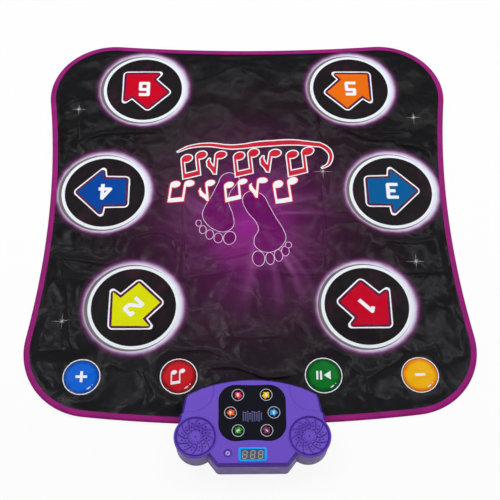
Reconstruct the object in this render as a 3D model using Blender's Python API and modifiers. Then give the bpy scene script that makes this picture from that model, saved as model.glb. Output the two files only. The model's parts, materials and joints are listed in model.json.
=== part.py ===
"""Electronic dance mat: a cloth mat with ten pressure pads and a battery console on its front edge.

Metres, +Z up. The origin is on the floor, midway between the six step pads.
+Y points away from the console, +X to the right when looking along +Y.
"""
import bmesh
import bpy
from math import atan2, cos, hypot, pi, radians, sin
from mathutils import Matrix, Vector

# Mat outline: four corner circles joined by slightly hollow or full edges
MAT_HALF_WIDTH = 0.397
MAT_REAR_Y = 0.3545
MAT_FRONT_Y = -0.445
MAT_CORNER_R = 0.125
MAT_REAR_DIP = 0.011
MAT_SIDE_DIP = 0.0205
MAT_FRONT_BULGE = 0.0148

# Step pads, numbered 1 to 6 as they are printed: how far their centres lie in from the mat's edges
STEP_PAD_R = 0.082
STEP_FROM_SIDE = 0.188
STEP_FROM_REAR = 0.1105
STEP_FROM_FRONT = 0.204
MIDDLE_FROM_SIDE = 0.1226

# Function pads in a row along the console's edge, measured in the same way
FUNCTION_PAD_R = 0.0325
OUTER_FROM_SIDE = 0.1046
INNER_FROM_SIDE = 0.2718
FUNCTION_FROM_FRONT = 0.0718

# Mat layers, from the floor up
BASE_THICKNESS = 0.0008
FILM_THICKNESS = 0.0003
FOAM_THICKNESS = 0.0020
COVER_THICKNESS = 0.0008
PAD_THICKNESS = 0.0020
PAD_TRAVEL = 0.0012
BINDING_WIDTH = 0.0125
BINDING_THICKNESS = 0.0008
LAYER_GAP = 0.0003
PAD_CLEARANCE = 0.0004

# Console casing
CONSOLE_HEIGHT = 0.052
CONSOLE_FLOOR_Z = 0.0010
CONSOLE_SEAM_Z = 0.0100
CONSOLE_WALL = 0.0020
CONSOLE_CHAMFER_IN = 0.0040
CONSOLE_CHAMFER_DROP = 0.0080
CONSOLE_REAR_Y = -0.395
CONSOLE_REAR_ARC_R = 0.250
CONSOLE_REAR_ARC_X = 0.088
CONSOLE_FRONT_Y = -0.5435
CONSOLE_FRONT_HALF = 0.0576
CONSOLE_FRONT_R = 0.008
SHOULDER_X = 0.1105
SHOULDER_Y = -0.4225
SHOULDER_R = 0.012
WAIST_X = 0.1160
WAIST_Y = -0.4520
WAIST_STEP = 0.0035
SHOULDER_DROP = 0.0010
SHOULDER_INNER_X = 0.0640
SHOULDER_CURVE_R = 0.036
POD_X = 0.0926
POD_Y = -0.4948
POD_R = 0.034
POD_SIDE_ANGLE = 28.0
POD_NECK_ANGLE = -124.0
FIT_GAP = 0.0003

# Control face
PANEL_HALF_WIDTH = 0.0555
PANEL_REAR_Y = -0.4070
PANEL_FRONT_Y = -0.5030
PANEL_CORNER_R = 0.028
PANEL_REAR_DIP = 0.0008
PANEL_SIDE_DIP = 0.0003
PANEL_FRONT_DIP = 0.0018
PANEL_THICKNESS = 0.0006
PANEL_RECESS = 0.0008
LAMP_R = 0.0025
LAMP_REAR = (0.0235, -0.4245)
LAMP_MIDDLE = (0.0357, -0.4550)
LAMP_FRONT = (0.0234, -0.4854)
BEZEL_WIDTH = 0.0466
BEZEL_DEPTH = 0.0237
BEZEL_CORNER_R = 0.0045
BEZEL_HEIGHT = 0.0012
BEZEL_Y = -0.5254
WINDOW_WIDTH = 0.0374
WINDOW_DEPTH = 0.0165
WINDOW_CORNER_R = 0.0012
BEZEL_SKIRT = 0.0012
STATUS_X = -0.0402
STATUS_Y = -0.5229
STATUS_R = 0.0030
STATUS_DIMPLE_R = 0.0066
STATUS_DIMPLE_DEPTH = 0.0009

# Loudspeakers and their grilles
GRILLE_R = 0.0273
GRILLE_THICKNESS = 0.0017
GRILLE_DISH = 0.0011
GRILLE_HUB_R = 0.0075
GRILLE_FLAT_R = 0.0254
GRILLE_SEAT_R = 0.0246
GRILLE_HOLE_R = 0.0011
GRILLE_RAYS = 12
GRILLE_RINGS = (0.0115, 0.0160, 0.0205)
GRILLE_RAY_TWIST = 7.0
SPEAKER_FLANGE_R = 0.0284
SPEAKER_FLANGE_THICKNESS = 0.0014
SPEAKER_BASKET_R = 0.0235
SPEAKER_MAGNET_R = 0.0150
SPEAKER_MAGNET_HEIGHT = 0.0080
SPEAKER_DEPTH = 0.0210
SPEAKER_SKIN = 0.0015
CONE_SKIN = 0.0008
CONE_RIM = 0.0016
CONE_DEPTH = 0.0060
CONE_TRAVEL = 0.0005
DUST_CAP_R = 0.0060
DUST_CAP_RISE = 0.0016

# Circuit board and what stands on it
BOARD_DEPTH = 0.0120
BOARD_THICKNESS = 0.0016
BOARD_HALF_WIDTH = 0.0510
BOARD_REAR_Y = -0.4100
BOARD_FRONT_Y = -0.5380
BOARD_SCREW_X = 0.0450
BOARD_SCREW_Y = -0.4380
BOARD_SCREW_R = 0.0010
BOARD_SCREW_HEAD_R = 0.0022
BOARD_SCREW_HEAD = 0.0018
BOARD_SCREW_GRIP = 0.0060
STANDOFF_R = 0.0030

# Screws, posts and clamp plates
SCREW_R = 0.0014
SCREW_TIP_R = 0.0008
SCREW_TIP = 0.0028
SCREW_HEAD_R = 0.0028
SCREW_HEAD = 0.0022
SCREW_TOP_Z = 0.0240
POST_R = 0.0047
POST_TOP_Z = 0.0140
BOSS_R = 0.0035
WELL_TOP_Z = 0.0110
SHELL_SCREWS = ((0.068, -0.470), (0.058, -0.526))
CLAMP_SCREW_X = (0.062, 0.095)
CLAMP_SCREW_Y = -0.430
CLAMP_HEAD_R = 0.0028
CLAMP_HEAD_Z = 0.00015
PLATE_INNER_X = 0.0500
PLATE_OUTER_X = 0.1040
PLATE_REAR_Y = -0.4180
PLATE_FRONT_Y = -0.4400
PLATE_CORNER_R = 0.0030
RIBBON_HALF_WIDTH = 0.0120
RIBBON_THICKNESS = 0.0004
RIBBON_REAR_Y = -0.4000
RIBBON_RISE_Y = -0.4280
SLOT_CLEARANCE = 0.0010

# Battery bay, its door and three AA cells
CELL_R = 0.0071
CELL_LENGTH = 0.0492
CELL_NUB_R = 0.0027
CELL_NUB = 0.0013
CELL_PITCH = 0.0155
CELL_COUNT = 3
BAY_FROM_FRONT = 0.0485
BAY_END_GAP = 0.0020
BAY_WALL = 0.0020
CONTACT_THICKNESS = 0.0005
DOOR_HALF_WIDTH = 0.0300
DOOR_LENGTH = 0.0510
DOOR_PLATE = 0.0012
DOOR_FLANGE = 0.0020
DOOR_FLANGE_THICKNESS = 0.0007
DOOR_TRAVEL = 0.0080
DOOR_SINK = 0.0001

# Rubber feet
FOOT_R = 0.0050
FOOT_BASE_R = 0.0047
FOOT_RECESS = 0.0010
FEET = ((0.042, -0.5355), (0.098, -0.500))

# Power switch in the right wall, between the shoulder and the loudspeaker pod
SWITCH_Y = -0.4665
SWITCH_Z = 0.0240
SWITCH_LENGTH = 0.0130
SWITCH_HEIGHT = 0.0070
SWITCH_DEPTH = 0.0060
KNOB_LENGTH = 0.0030
KNOB_HEIGHT = 0.0030
KNOB_PROUD = 0.0016
KNOB_INSIDE = 0.0022
KNOB_TRAVEL = 0.0040

# Smoothness of round shapes, and the reach of cuts and joins
CORNER_STEPS = 7
EDGE_STEPS = 5
SMALL_STEPS = 4
PAD_SIDES = 32
SMALL_PAD_SIDES = 20
GRILLE_SIDES = 28
SPEAKER_SIDES = 20
ROUND_SIDES = 14
SMALL_SIDES = 10
HOLE_SIDES = 6
SMOOTH_ANGLE = 35.0
LEVEL_ANGLE = 25.0
BOOL_REACH = 0.0020
EMBED = 0.0005
MERGE = 0.00001

# Places and heights that follow from the values above
STEP_X = MAT_HALF_WIDTH - STEP_FROM_SIDE
STEP_REAR_Y = MAT_REAR_Y - STEP_FROM_REAR
STEP_FRONT_Y = MAT_FRONT_Y + STEP_FROM_FRONT
MIDDLE_X = MAT_HALF_WIDTH - MIDDLE_FROM_SIDE
OUTER_X = MAT_HALF_WIDTH - OUTER_FROM_SIDE
INNER_X = MAT_HALF_WIDTH - INNER_FROM_SIDE
FUNCTION_Y = MAT_FRONT_Y + FUNCTION_FROM_FRONT
FILM_Z = BASE_THICKNESS + LAYER_GAP
FOAM_Z = FILM_Z + FILM_THICKNESS + LAYER_GAP
COVER_Z = FOAM_Z + FOAM_THICKNESS + LAYER_GAP
COVER_TOP = COVER_Z + COVER_THICKNESS
BINDING_LIP_Z = COVER_TOP + LAYER_GAP
BINDING_TOP = BINDING_LIP_Z + BINDING_THICKNESS
PAD_Z = FOAM_Z + PAD_TRAVEL
PLATE_TOP = FILM_Z + FILM_THICKNESS
DECK_UNDER = CONSOLE_HEIGHT - CONSOLE_WALL
REAR_UNDER = BINDING_LIP_Z
LIP_UNDER = BINDING_TOP + FIT_GAP
REAR_FLOOR_TOP = LIP_UNDER + CONSOLE_WALL
MAT_EDGE_Y = MAT_FRONT_Y - MAT_FRONT_BULGE
RISER_Y = MAT_EDGE_Y - 2 * FIT_GAP
FRONT_EDGE_REACH = MAT_CORNER_R + MAT_FRONT_BULGE
FRONT_EDGE_CHORD = MAT_HALF_WIDTH - MAT_CORNER_R
FRONT_EDGE_R = (FRONT_EDGE_CHORD ** 2 + FRONT_EDGE_REACH ** 2 - MAT_CORNER_R ** 2) / (2 * MAT_FRONT_BULGE)
FRONT_EDGE_RISE = (POD_X + POD_R) ** 2 / (2 * FRONT_EDGE_R)
LIP_INNER_Y = MAT_EDGE_Y + FRONT_EDGE_RISE + BINDING_WIDTH + 2 * FIT_GAP
BOARD_Z = CONSOLE_HEIGHT - BOARD_DEPTH
BOARD_TOP = BOARD_Z + BOARD_THICKNESS
PANEL_Z = CONSOLE_HEIGHT - PANEL_RECESS + FIT_GAP
DOOR_Z = CONSOLE_FLOOR_Z + DOOR_SINK
DOOR_TOP = DOOR_Z + DOOR_PLATE + DOOR_FLANGE_THICKNESS
BAY_Y = CONSOLE_FRONT_Y + BAY_FROM_FRONT
DOOR_REAR_Y = BAY_Y + DOOR_LENGTH / 2
DOOR_FRONT_Y = BAY_Y - DOOR_LENGTH / 2
CELL_Z = DOOR_TOP + FIT_GAP + CELL_R
BAY_TOP = CELL_Z + CELL_R + 2 * FIT_GAP
BAY_HALF_DEPTH = CELL_PITCH * CELL_COUNT / 2 + FIT_GAP
BAY_HALF_WIDTH = (CELL_LENGTH + CELL_NUB) / 2 + BAY_END_GAP


def clear_scene():
    for thing in list(bpy.data.objects):
        bpy.data.objects.remove(thing, do_unlink=True)


def new_collection(name):
    group = bpy.data.collections.new(name)
    bpy.context.scene.collection.children.link(group)
    return group


def material(name, colour, roughness, metallic=0.0, alpha=1.0):
    finish = bpy.data.materials.new(name)
    finish.use_nodes = True
    finish.diffuse_color = (*colour, alpha)
    shader = finish.node_tree.nodes["Principled BSDF"]
    shader.inputs["Base Color"].default_value = (*colour, 1.0)
    shader.inputs["Roughness"].default_value = roughness
    shader.inputs["Metallic"].default_value = metallic
    shader.inputs["Alpha"].default_value = alpha
    return finish


# Outlines in the plane, each a list of points

def arc(centre, radius, start, end, steps):
    """Points on a circle from one angle to another, both ends included."""
    turn = (end - start) / steps
    return [(centre[0] + radius * cos(start + turn * i), centre[1] + radius * sin(start + turn * i))
            for i in range(steps + 1)]


def circle(centre, radius, sides):
    return arc(centre, radius, 0.0, 2 * pi, sides)[:-1]


def short_arc(centre, radius, first, last, steps):
    """Points between two places on a circle, the short way round, ends left out."""
    start = atan2(first[1] - centre[1], first[0] - centre[0])
    sweep = atan2(last[1] - centre[1], last[0] - centre[0]) - start
    sweep = (sweep + pi) % (2 * pi) - pi
    return arc(centre, radius, start, start + sweep, steps)[1:-1]


def edge_centre(one, two, radius, dip):
    """Centre and signed radius of the arc that joins two equal corner circles with a dip between them."""
    half = hypot(two[0] - one[0], two[1] - one[1]) / 2
    normal = ((two[1] - one[1]) / (2 * half), (one[0] - two[0]) / (2 * half))
    reach = radius - dip
    edge_r = (half ** 2 + reach ** 2 - radius ** 2) / (2 * dip)
    middle = ((one[0] + two[0]) / 2, (one[1] + two[1]) / 2)
    out = reach + edge_r
    return (middle[0] + normal[0] * out, middle[1] + normal[1] * out), edge_r


def tangent_point(corner, radius, centre, edge_r):
    away = Vector((centre[0] - corner[0], centre[1] - corner[1])).normalized()
    if edge_r < 0:
        away = -away
    return corner[0] + radius * away.x, corner[1] + radius * away.y


def soft_rectangle(half_width, rear_y, front_y, radius, dips, inset=0.0):
    """Closed outline with round corners; dips are for the right, rear, left and front edges."""
    x = half_width - radius
    corners = [(x, front_y + radius), (x, rear_y - radius), (-x, rear_y - radius), (-x, front_y + radius)]
    edges = [edge_centre(corners[i], corners[(i + 1) % 4], radius, dips[i]) for i in range(4)]
    points = []
    corner_r = radius - inset
    for i in range(4):
        centre, edge_r = edges[i - 1]
        enter = tangent_point(corners[i], corner_r, centre, edge_r)
        centre, edge_r = edges[i]
        leave = tangent_point(corners[i], corner_r, centre, edge_r)
        following = tangent_point(corners[(i + 1) % 4], corner_r, centre, edge_r)
        points.append(enter)
        points += short_arc(corners[i], corner_r, enter, leave, CORNER_STEPS)
        points.append(leave)
        points += short_arc(centre, abs(edge_r + inset), leave, following, EDGE_STEPS)
    return points


def fillet(before, corner, after, radius, steps):
    """Round one corner of a path with an arc that touches both its sides."""
    here = Vector(corner)
    back = (Vector(before) - here).normalized()
    ahead = (Vector(after) - here).normalized()
    half = back.angle(ahead) / 2
    centre = here + (back + ahead).normalized() * (radius / sin(half))
    first = here + back * (radius * cos(half) / sin(half))
    last = here + ahead * (radius * cos(half) / sin(half))
    return [tuple(first)] + short_arc(centre, radius, first, last, steps) + [tuple(last)]


def rounded_box(half_x, half_y, radius, centre=(0.0, 0.0)):
    points = []
    for i, (sx, sy) in enumerate(((1, 1), (-1, 1), (-1, -1), (1, -1))):
        corner = (centre[0] + sx * (half_x - radius), centre[1] + sy * (half_y - radius))
        points += arc(corner, radius, i * pi / 2, (i + 1) * pi / 2, SMALL_STEPS)
    return points


def mirrored(right_half):
    """Close a path on the +X side with its mirror image."""
    return right_half + [(-x, y) for x, y in reversed(right_half) if x > MERGE]


def inset_loop(points, distance):
    """Move each side of a clockwise outline inwards by one distance."""
    result = []
    for i, here in enumerate(points):
        before = Vector(points[i - 1])
        after = Vector(points[(i + 1) % len(points)])
        one = (Vector(here) - before).normalized()
        two = (after - Vector(here)).normalized()
        side = Vector((one.y, -one.x)) + Vector((two.y, -two.x))
        scale = distance / (1 + one.dot(two))
        result.append((here[0] + side.x * scale, here[1] + side.y * scale))
    return result


def mat_outline(inset):
    dips = (MAT_SIDE_DIP, MAT_REAR_DIP, MAT_SIDE_DIP, -MAT_FRONT_BULGE)
    return soft_rectangle(MAT_HALF_WIDTH, MAT_REAR_Y, MAT_FRONT_Y, MAT_CORNER_R, dips, inset)


def panel_outline(inset):
    dips = (PANEL_SIDE_DIP, PANEL_REAR_DIP, PANEL_SIDE_DIP, PANEL_FRONT_DIP)
    return soft_rectangle(PANEL_HALF_WIDTH, PANEL_REAR_Y, PANEL_FRONT_Y, PANEL_CORNER_R, dips, inset)


def pod_angles():
    return radians(POD_SIDE_ANGLE), radians(POD_NECK_ANGLE)


def console_outline():
    """Clockwise outline of the console's walls, seen from above."""
    centre = (0.0, CONSOLE_REAR_Y - CONSOLE_REAR_ARC_R)
    swing = atan2(CONSOLE_REAR_ARC_X, CONSOLE_REAR_ARC_R)
    right = arc(centre, CONSOLE_REAR_ARC_R, pi / 2, pi / 2 - swing, EDGE_STEPS)
    waist = (WAIST_X, WAIST_Y)
    step = (WAIST_X + WAIST_STEP, WAIST_Y - WAIST_STEP)
    pod = arc((POD_X, POD_Y), POD_R, *pod_angles(), 2 * CORNER_STEPS)
    right += fillet(right[-1], (SHOULDER_X, SHOULDER_Y), waist, SHOULDER_R, EDGE_STEPS)
    right += [waist, step]
    right += pod
    front = (CONSOLE_FRONT_HALF, CONSOLE_FRONT_Y)
    right += fillet(pod[-1], front, (0.0, CONSOLE_FRONT_Y), CONSOLE_FRONT_R, SMALL_STEPS)
    return mirrored(right)


def wall_frame():
    """Middle, direction and outward normal of the right wall where the switch sits."""
    top = Vector((WAIST_X + WAIST_STEP, WAIST_Y - WAIST_STEP, 0))
    low_angle = pod_angles()[0]
    low = Vector((POD_X + POD_R * cos(low_angle), POD_Y + POD_R * sin(low_angle), 0))
    along = (low - top).normalized()
    middle = top + along * ((SWITCH_Y - top.y) / along.y)
    return middle, along, Vector((-along.y, along.x, 0))


# Solids

def place(mesh, name, group, finish=None, matrix=None):
    thing = bpy.data.objects.new(name, mesh)
    group.objects.link(thing)
    if finish:
        mesh.materials.clear()
        mesh.materials.append(finish)
    else:
        thing.hide_render = True
        thing.display_type = "WIRE"
    if matrix:
        thing.matrix_world = matrix
    return thing


def smooth(thing):
    thing.data.shade_smooth()
    thing.data.set_sharp_from_angle(angle=radians(SMOOTH_ANGLE))


def place_round(mesh, name, group, finish, spot, z=0.0):
    """Stand a round piece on its own vertical axis."""
    thing = place(mesh, name, group, finish, Matrix.Translation((*spot, z)))
    smooth(thing)
    return thing


def curve_mesh(curve, name):
    """Turn a curve into a closed mesh and remove the curve."""
    guide = bpy.data.objects.new(name, curve)
    bpy.context.scene.collection.objects.link(guide)
    bpy.context.view_layer.update()
    graph = bpy.context.evaluated_depsgraph_get()
    mesh = bpy.data.meshes.new_from_object(guide.evaluated_get(graph))
    bpy.data.objects.remove(guide, do_unlink=True)
    bpy.data.curves.remove(curve)
    work = bmesh.new()
    work.from_mesh(mesh)
    bmesh.ops.remove_doubles(work, verts=work.verts, dist=MERGE)
    bmesh.ops.recalc_face_normals(work, faces=work.faces)
    work.to_mesh(mesh)
    work.free()
    mesh.name = name
    return mesh


def flat_curve(name, loops):
    curve = bpy.data.curves.new(name, "CURVE")
    curve.dimensions = "2D"
    curve.fill_mode = "BOTH"
    for loop in loops:
        spline = curve.splines.new("POLY")
        spline.points.add(len(loop) - 1)
        for point, (x, y) in zip(spline.points, loop):
            point.co = (x, y, 0.0, 1.0)
        spline.use_cyclic_u = True
    return curve


def slab_mesh(name, loops, low, high):
    """A flat plate between two heights; loops are its outline and its holes."""
    curve = flat_curve(name, loops)
    curve.extrude = (high - low) / 2
    mesh = curve_mesh(curve, name)
    mesh.transform(Matrix.Translation((0, 0, (high + low) / 2)))
    return mesh


def side_profile_mesh(name, profile, low_x, high_x):
    """A profile of (y, z) points, drawn out along X."""
    mesh = slab_mesh(name, [profile], low_x, high_x)
    mesh.transform(Matrix(((0, 0, 1, 0), (1, 0, 0, 0), (0, 1, 0, 0), (0, 0, 0, 1))))
    return mesh


def box_mesh(name, low, high):
    work = bmesh.new()
    size = Vector(high) - Vector(low)
    middle = (Vector(high) + Vector(low)) / 2
    shift = Matrix.Translation(middle) @ Matrix.Diagonal((*size, 1.0))
    bmesh.ops.create_cube(work, size=1.0, matrix=shift)
    return finished(work, name)


def cylinder_mesh(name, radius, low, high, sides, centre=(0.0, 0.0), top_radius=None):
    work = bmesh.new()
    shift = Matrix.Translation((centre[0], centre[1], (low + high) / 2))
    upper = top_radius or radius
    bmesh.ops.create_cone(work, cap_ends=True, segments=sides, radius1=radius, radius2=upper,
                          depth=high - low, matrix=shift)
    return finished(work, name)


def cylinders(name, radius, low, high, sides, places):
    return [cylinder_mesh(name, radius, low, high, sides, centre) for centre in places]


def finished(work, name):
    mesh = bpy.data.meshes.new(name)
    work.to_mesh(mesh)
    work.free()
    return mesh


def turned_mesh(name, profile, sides, closed=False):
    """A profile of (radius, z) points, turned about Z; it runs down the outer side."""
    work = bmesh.new()
    corners = [work.verts.new((r, 0.0, z)) for r, z in profile]
    pairs = list(zip(corners, corners[1:]))
    if closed:
        pairs.append((corners[-1], corners[0]))
    for one, two in pairs:
        if max(one.co.x, two.co.x) > MERGE:
            work.edges.new((one, two))
    guide = bpy.data.objects.new(name, finished(work, name))
    bpy.context.scene.collection.objects.link(guide)
    screw = guide.modifiers.new("turn", "SCREW")
    screw.steps = sides
    screw.render_steps = sides
    screw.use_merge_vertices = True
    screw.merge_threshold = MERGE
    bpy.context.view_layer.update()
    graph = bpy.context.evaluated_depsgraph_get()
    mesh = bpy.data.meshes.new_from_object(guide.evaluated_get(graph))
    bpy.data.objects.remove(guide, do_unlink=True)
    mesh.name = name
    return mesh


def joined(name, meshes):
    """Several separate shapes in one mesh, for one cut or one union."""
    work = bmesh.new()
    for mesh in meshes:
        work.from_mesh(mesh)
    return finished(work, name)


def combine(thing, mesh, how, cutters):
    tool = place(mesh, mesh.name, cutters)
    step = thing.modifiers.new(mesh.name, "BOOLEAN")
    step.operation = how
    step.object = tool
    return step


# The mat

def pad_places():
    """Name, centre, radius and number of sides of every pad."""
    step = [("step_pad_1", STEP_X, STEP_FRONT_Y), ("step_pad_2", -STEP_X, STEP_FRONT_Y),
            ("step_pad_3", MIDDLE_X, 0.0), ("step_pad_4", -MIDDLE_X, 0.0),
            ("step_pad_5", STEP_X, STEP_REAR_Y), ("step_pad_6", -STEP_X, STEP_REAR_Y)]
    small = [("volume_up_pad", -OUTER_X), ("pairing_pad", -INNER_X),
             ("mode_pad", INNER_X), ("volume_down_pad", OUTER_X)]
    places = [(name, (x, y), STEP_PAD_R, PAD_SIDES) for name, x, y in step]
    return places + [(name, (x, FUNCTION_Y), FUNCTION_PAD_R, SMALL_PAD_SIDES) for name, x in small]


def pad_holes():
    return [circle(centre, radius, sides) for _, centre, radius, sides in pad_places()]


def clamp_screw_places():
    return [(side * x, CLAMP_SCREW_Y) for side in (-1, 1) for x in CLAMP_SCREW_X]


def plate_outline(side, grow=0.0):
    centre = (side * (PLATE_INNER_X + PLATE_OUTER_X) / 2, (PLATE_REAR_Y + PLATE_FRONT_Y) / 2)
    half_x = (PLATE_OUTER_X - PLATE_INNER_X) / 2 + grow
    half_y = (PLATE_REAR_Y - PLATE_FRONT_Y) / 2 + grow
    return rounded_box(half_x, half_y, PLATE_CORNER_R + grow, centre)


def screw_holes():
    return [circle(spot, SCREW_R + FIT_GAP, SMALL_SIDES) for spot in clamp_screw_places()]


def ribbon_slot(rear_y):
    front = RIBBON_RISE_Y - RIBBON_THICKNESS - SLOT_CLEARANCE
    half = RIBBON_HALF_WIDTH + SLOT_CLEARANCE
    return [(-half, front), (half, front), (half, rear_y), (-half, rear_y)]


def make_mat(group):
    cloth = material("cover_cloth", (0.015, 0.013, 0.016), 0.45)
    rubber = material("base_rubber", (0.03, 0.03, 0.032), 0.8)
    film = material("circuit_film", (0.45, 0.42, 0.30), 0.4)
    foam = material("spacer_foam", (0.55, 0.55, 0.56), 0.9)
    tape = material("edge_binding", (0.36, 0.015, 0.22), 0.5)
    plates = [plate_outline(side, FIT_GAP) for side in (-1, 1)]
    edge = BINDING_THICKNESS + LAYER_GAP
    base_loops = [mat_outline(BINDING_WIDTH + LAYER_GAP)] + plates
    place(slab_mesh("base_sheet", base_loops, 0.0, BASE_THICKNESS), "base_sheet", group, rubber)
    film_loops = [mat_outline(edge)] + plates
    film_mesh = slab_mesh("circuit_film", film_loops, FILM_Z, FILM_Z + FILM_THICKNESS)
    place(film_mesh, "circuit_film", group, film)
    holes = pad_holes() + screw_holes()
    foam_loops = [mat_outline(edge), ribbon_slot(RIBBON_REAR_Y + SLOT_CLEARANCE)] + holes
    foam_mesh = slab_mesh("spacer_foam", foam_loops, FOAM_Z, FOAM_Z + FOAM_THICKNESS)
    place(foam_mesh, "spacer_foam", group, foam)
    cover_loops = [mat_outline(edge), ribbon_slot(RIBBON_RISE_Y + SLOT_CLEARANCE)] + holes
    cover_mesh = slab_mesh("cover_sheet", cover_loops, COVER_Z, COVER_TOP)
    place(cover_mesh, "cover_sheet", group, cloth)
    make_binding(group, tape)
    make_pads(group)


def make_binding(group, finish):
    """Tape folded over the edge: the outline swept with a U-shaped section."""
    upright = BINDING_THICKNESS
    section = [(0.0, 0.0), (BINDING_WIDTH, 0.0), (BINDING_WIDTH, BASE_THICKNESS), (upright, BASE_THICKNESS),
               (upright, BINDING_LIP_Z), (BINDING_WIDTH, BINDING_LIP_Z), (BINDING_WIDTH, BINDING_TOP),
               (0.0, BINDING_TOP)]
    work = bmesh.new()
    rings = [[work.verts.new((x, y, z)) for x, y in mat_outline(inset)] for inset, z in section]
    for one, two in zip(rings, rings[1:] + rings[:1]):
        for i in range(len(one)):
            work.faces.new((one[i - 1], two[i - 1], two[i], one[i]))
    bmesh.ops.recalc_face_normals(work, faces=work.faces)
    place(finished(work, "edge_binding"), "edge_binding", group, finish)


def make_pads(group):
    step = material("step_pad_cloth", (0.012, 0.010, 0.013), 0.45)
    colours = {"volume_up_pad": (0.0, 0.10, 0.58), "pairing_pad": (0.58, 0.01, 0.02),
               "mode_pad": (0.0, 0.17, 0.013), "volume_down_pad": (0.87, 0.43, 0.0)}
    for name, centre, radius, sides in pad_places():
        finish = step
        if name in colours:
            finish = material(name, colours[name], 0.45)
        mesh = cylinder_mesh(name, radius - PAD_CLEARANCE, 0.0, PAD_THICKNESS, sides)
        place_round(mesh, name, group, finish, centre, PAD_Z)


# The clamp that holds the mat's front edge under the console

def screw_tip():
    """The upper end of a casing screw's profile."""
    return [(0.0, SCREW_TOP_Z), (SCREW_TIP_R, SCREW_TOP_Z), (SCREW_R, SCREW_TOP_Z - SCREW_TIP)]


def make_clamp(group, cutters):
    steel = material("plate_steel", (0.55, 0.56, 0.58), 0.35, 1.0)
    screw_steel = material("screw_steel", (0.50, 0.50, 0.52), 0.3, 1.0)
    sink = CLAMP_HEAD_R + 2 * FIT_GAP
    neck = SCREW_R + FIT_GAP
    for side, name in ((-1, "clamp_plate_left"), (1, "clamp_plate_right")):
        plate = place(slab_mesh(name, [plate_outline(side)], 0.0, PLATE_TOP), name, group, steel)
        sinks = []
        for x in CLAMP_SCREW_X:
            profile = [(0.0, PLATE_TOP + BOOL_REACH), (neck, PLATE_TOP + BOOL_REACH),
                       (neck, PLATE_TOP - FIT_GAP), (sink, 0.0), (sink, -BOOL_REACH), (0.0, -BOOL_REACH)]
            mesh = turned_mesh("sink", profile, SMALL_SIDES)
            mesh.transform(Matrix.Translation((side * x, CLAMP_SCREW_Y, 0)))
            sinks.append(mesh)
        combine(plate, joined(name + "_sinks", sinks), "DIFFERENCE", cutters)
    head = [(SCREW_R, PLATE_TOP - FIT_GAP), (CLAMP_HEAD_R, CLAMP_HEAD_Z), (0.0, CLAMP_HEAD_Z)]
    for i, spot in enumerate(clamp_screw_places()):
        name = "clamp_screw_%d" % (i + 1)
        place_round(turned_mesh(name, screw_tip() + head, SMALL_SIDES), name, group, screw_steel, spot)


def make_ribbon(group):
    """Flat tail that carries the pads' signals from the film up to the circuit board."""
    low = FOAM_Z
    thick = RIBBON_THICKNESS
    profile = [(RIBBON_REAR_Y, low), (RIBBON_REAR_Y, low + thick), (RIBBON_RISE_Y, low + thick),
               (RIBBON_RISE_Y, BOARD_Z - FIT_GAP), (RIBBON_RISE_Y - thick, BOARD_Z - FIT_GAP),
               (RIBBON_RISE_Y - thick, low)]
    mesh = side_profile_mesh("ribbon_cable", profile, -RIBBON_HALF_WIDTH, RIBBON_HALF_WIDTH)
    grey = material("ribbon_cable", (0.35, 0.33, 0.30), 0.5)
    place(mesh, "ribbon_cable", group, grey)


# The console's two shells

def shell_screw_places():
    return [(side * x, y) for side in (-1, 1) for x, y in SHELL_SCREWS]


def lamp_places():
    return [(side * x, y) for x, y in (LAMP_REAR, LAMP_MIDDLE, LAMP_FRONT) for side in (-1, 1)]


def shoulder_outline(side):
    """The part of the deck outside a hollow curve, which lies a little lower."""
    inner = SHOULDER_INNER_X
    lower = WAIST_Y
    outer = WAIST_X + BOOL_REACH
    centre = (inner + SHOULDER_CURVE_R, lower + SHOULDER_CURVE_R)
    bend = arc(centre, SHOULDER_CURVE_R, pi, 1.5 * pi, CORNER_STEPS)
    points = [(inner, CONSOLE_REAR_Y)] + bend + [(outer, lower), (outer, CONSOLE_REAR_Y)]
    return [(side * x, y) for x, y in points]


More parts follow.
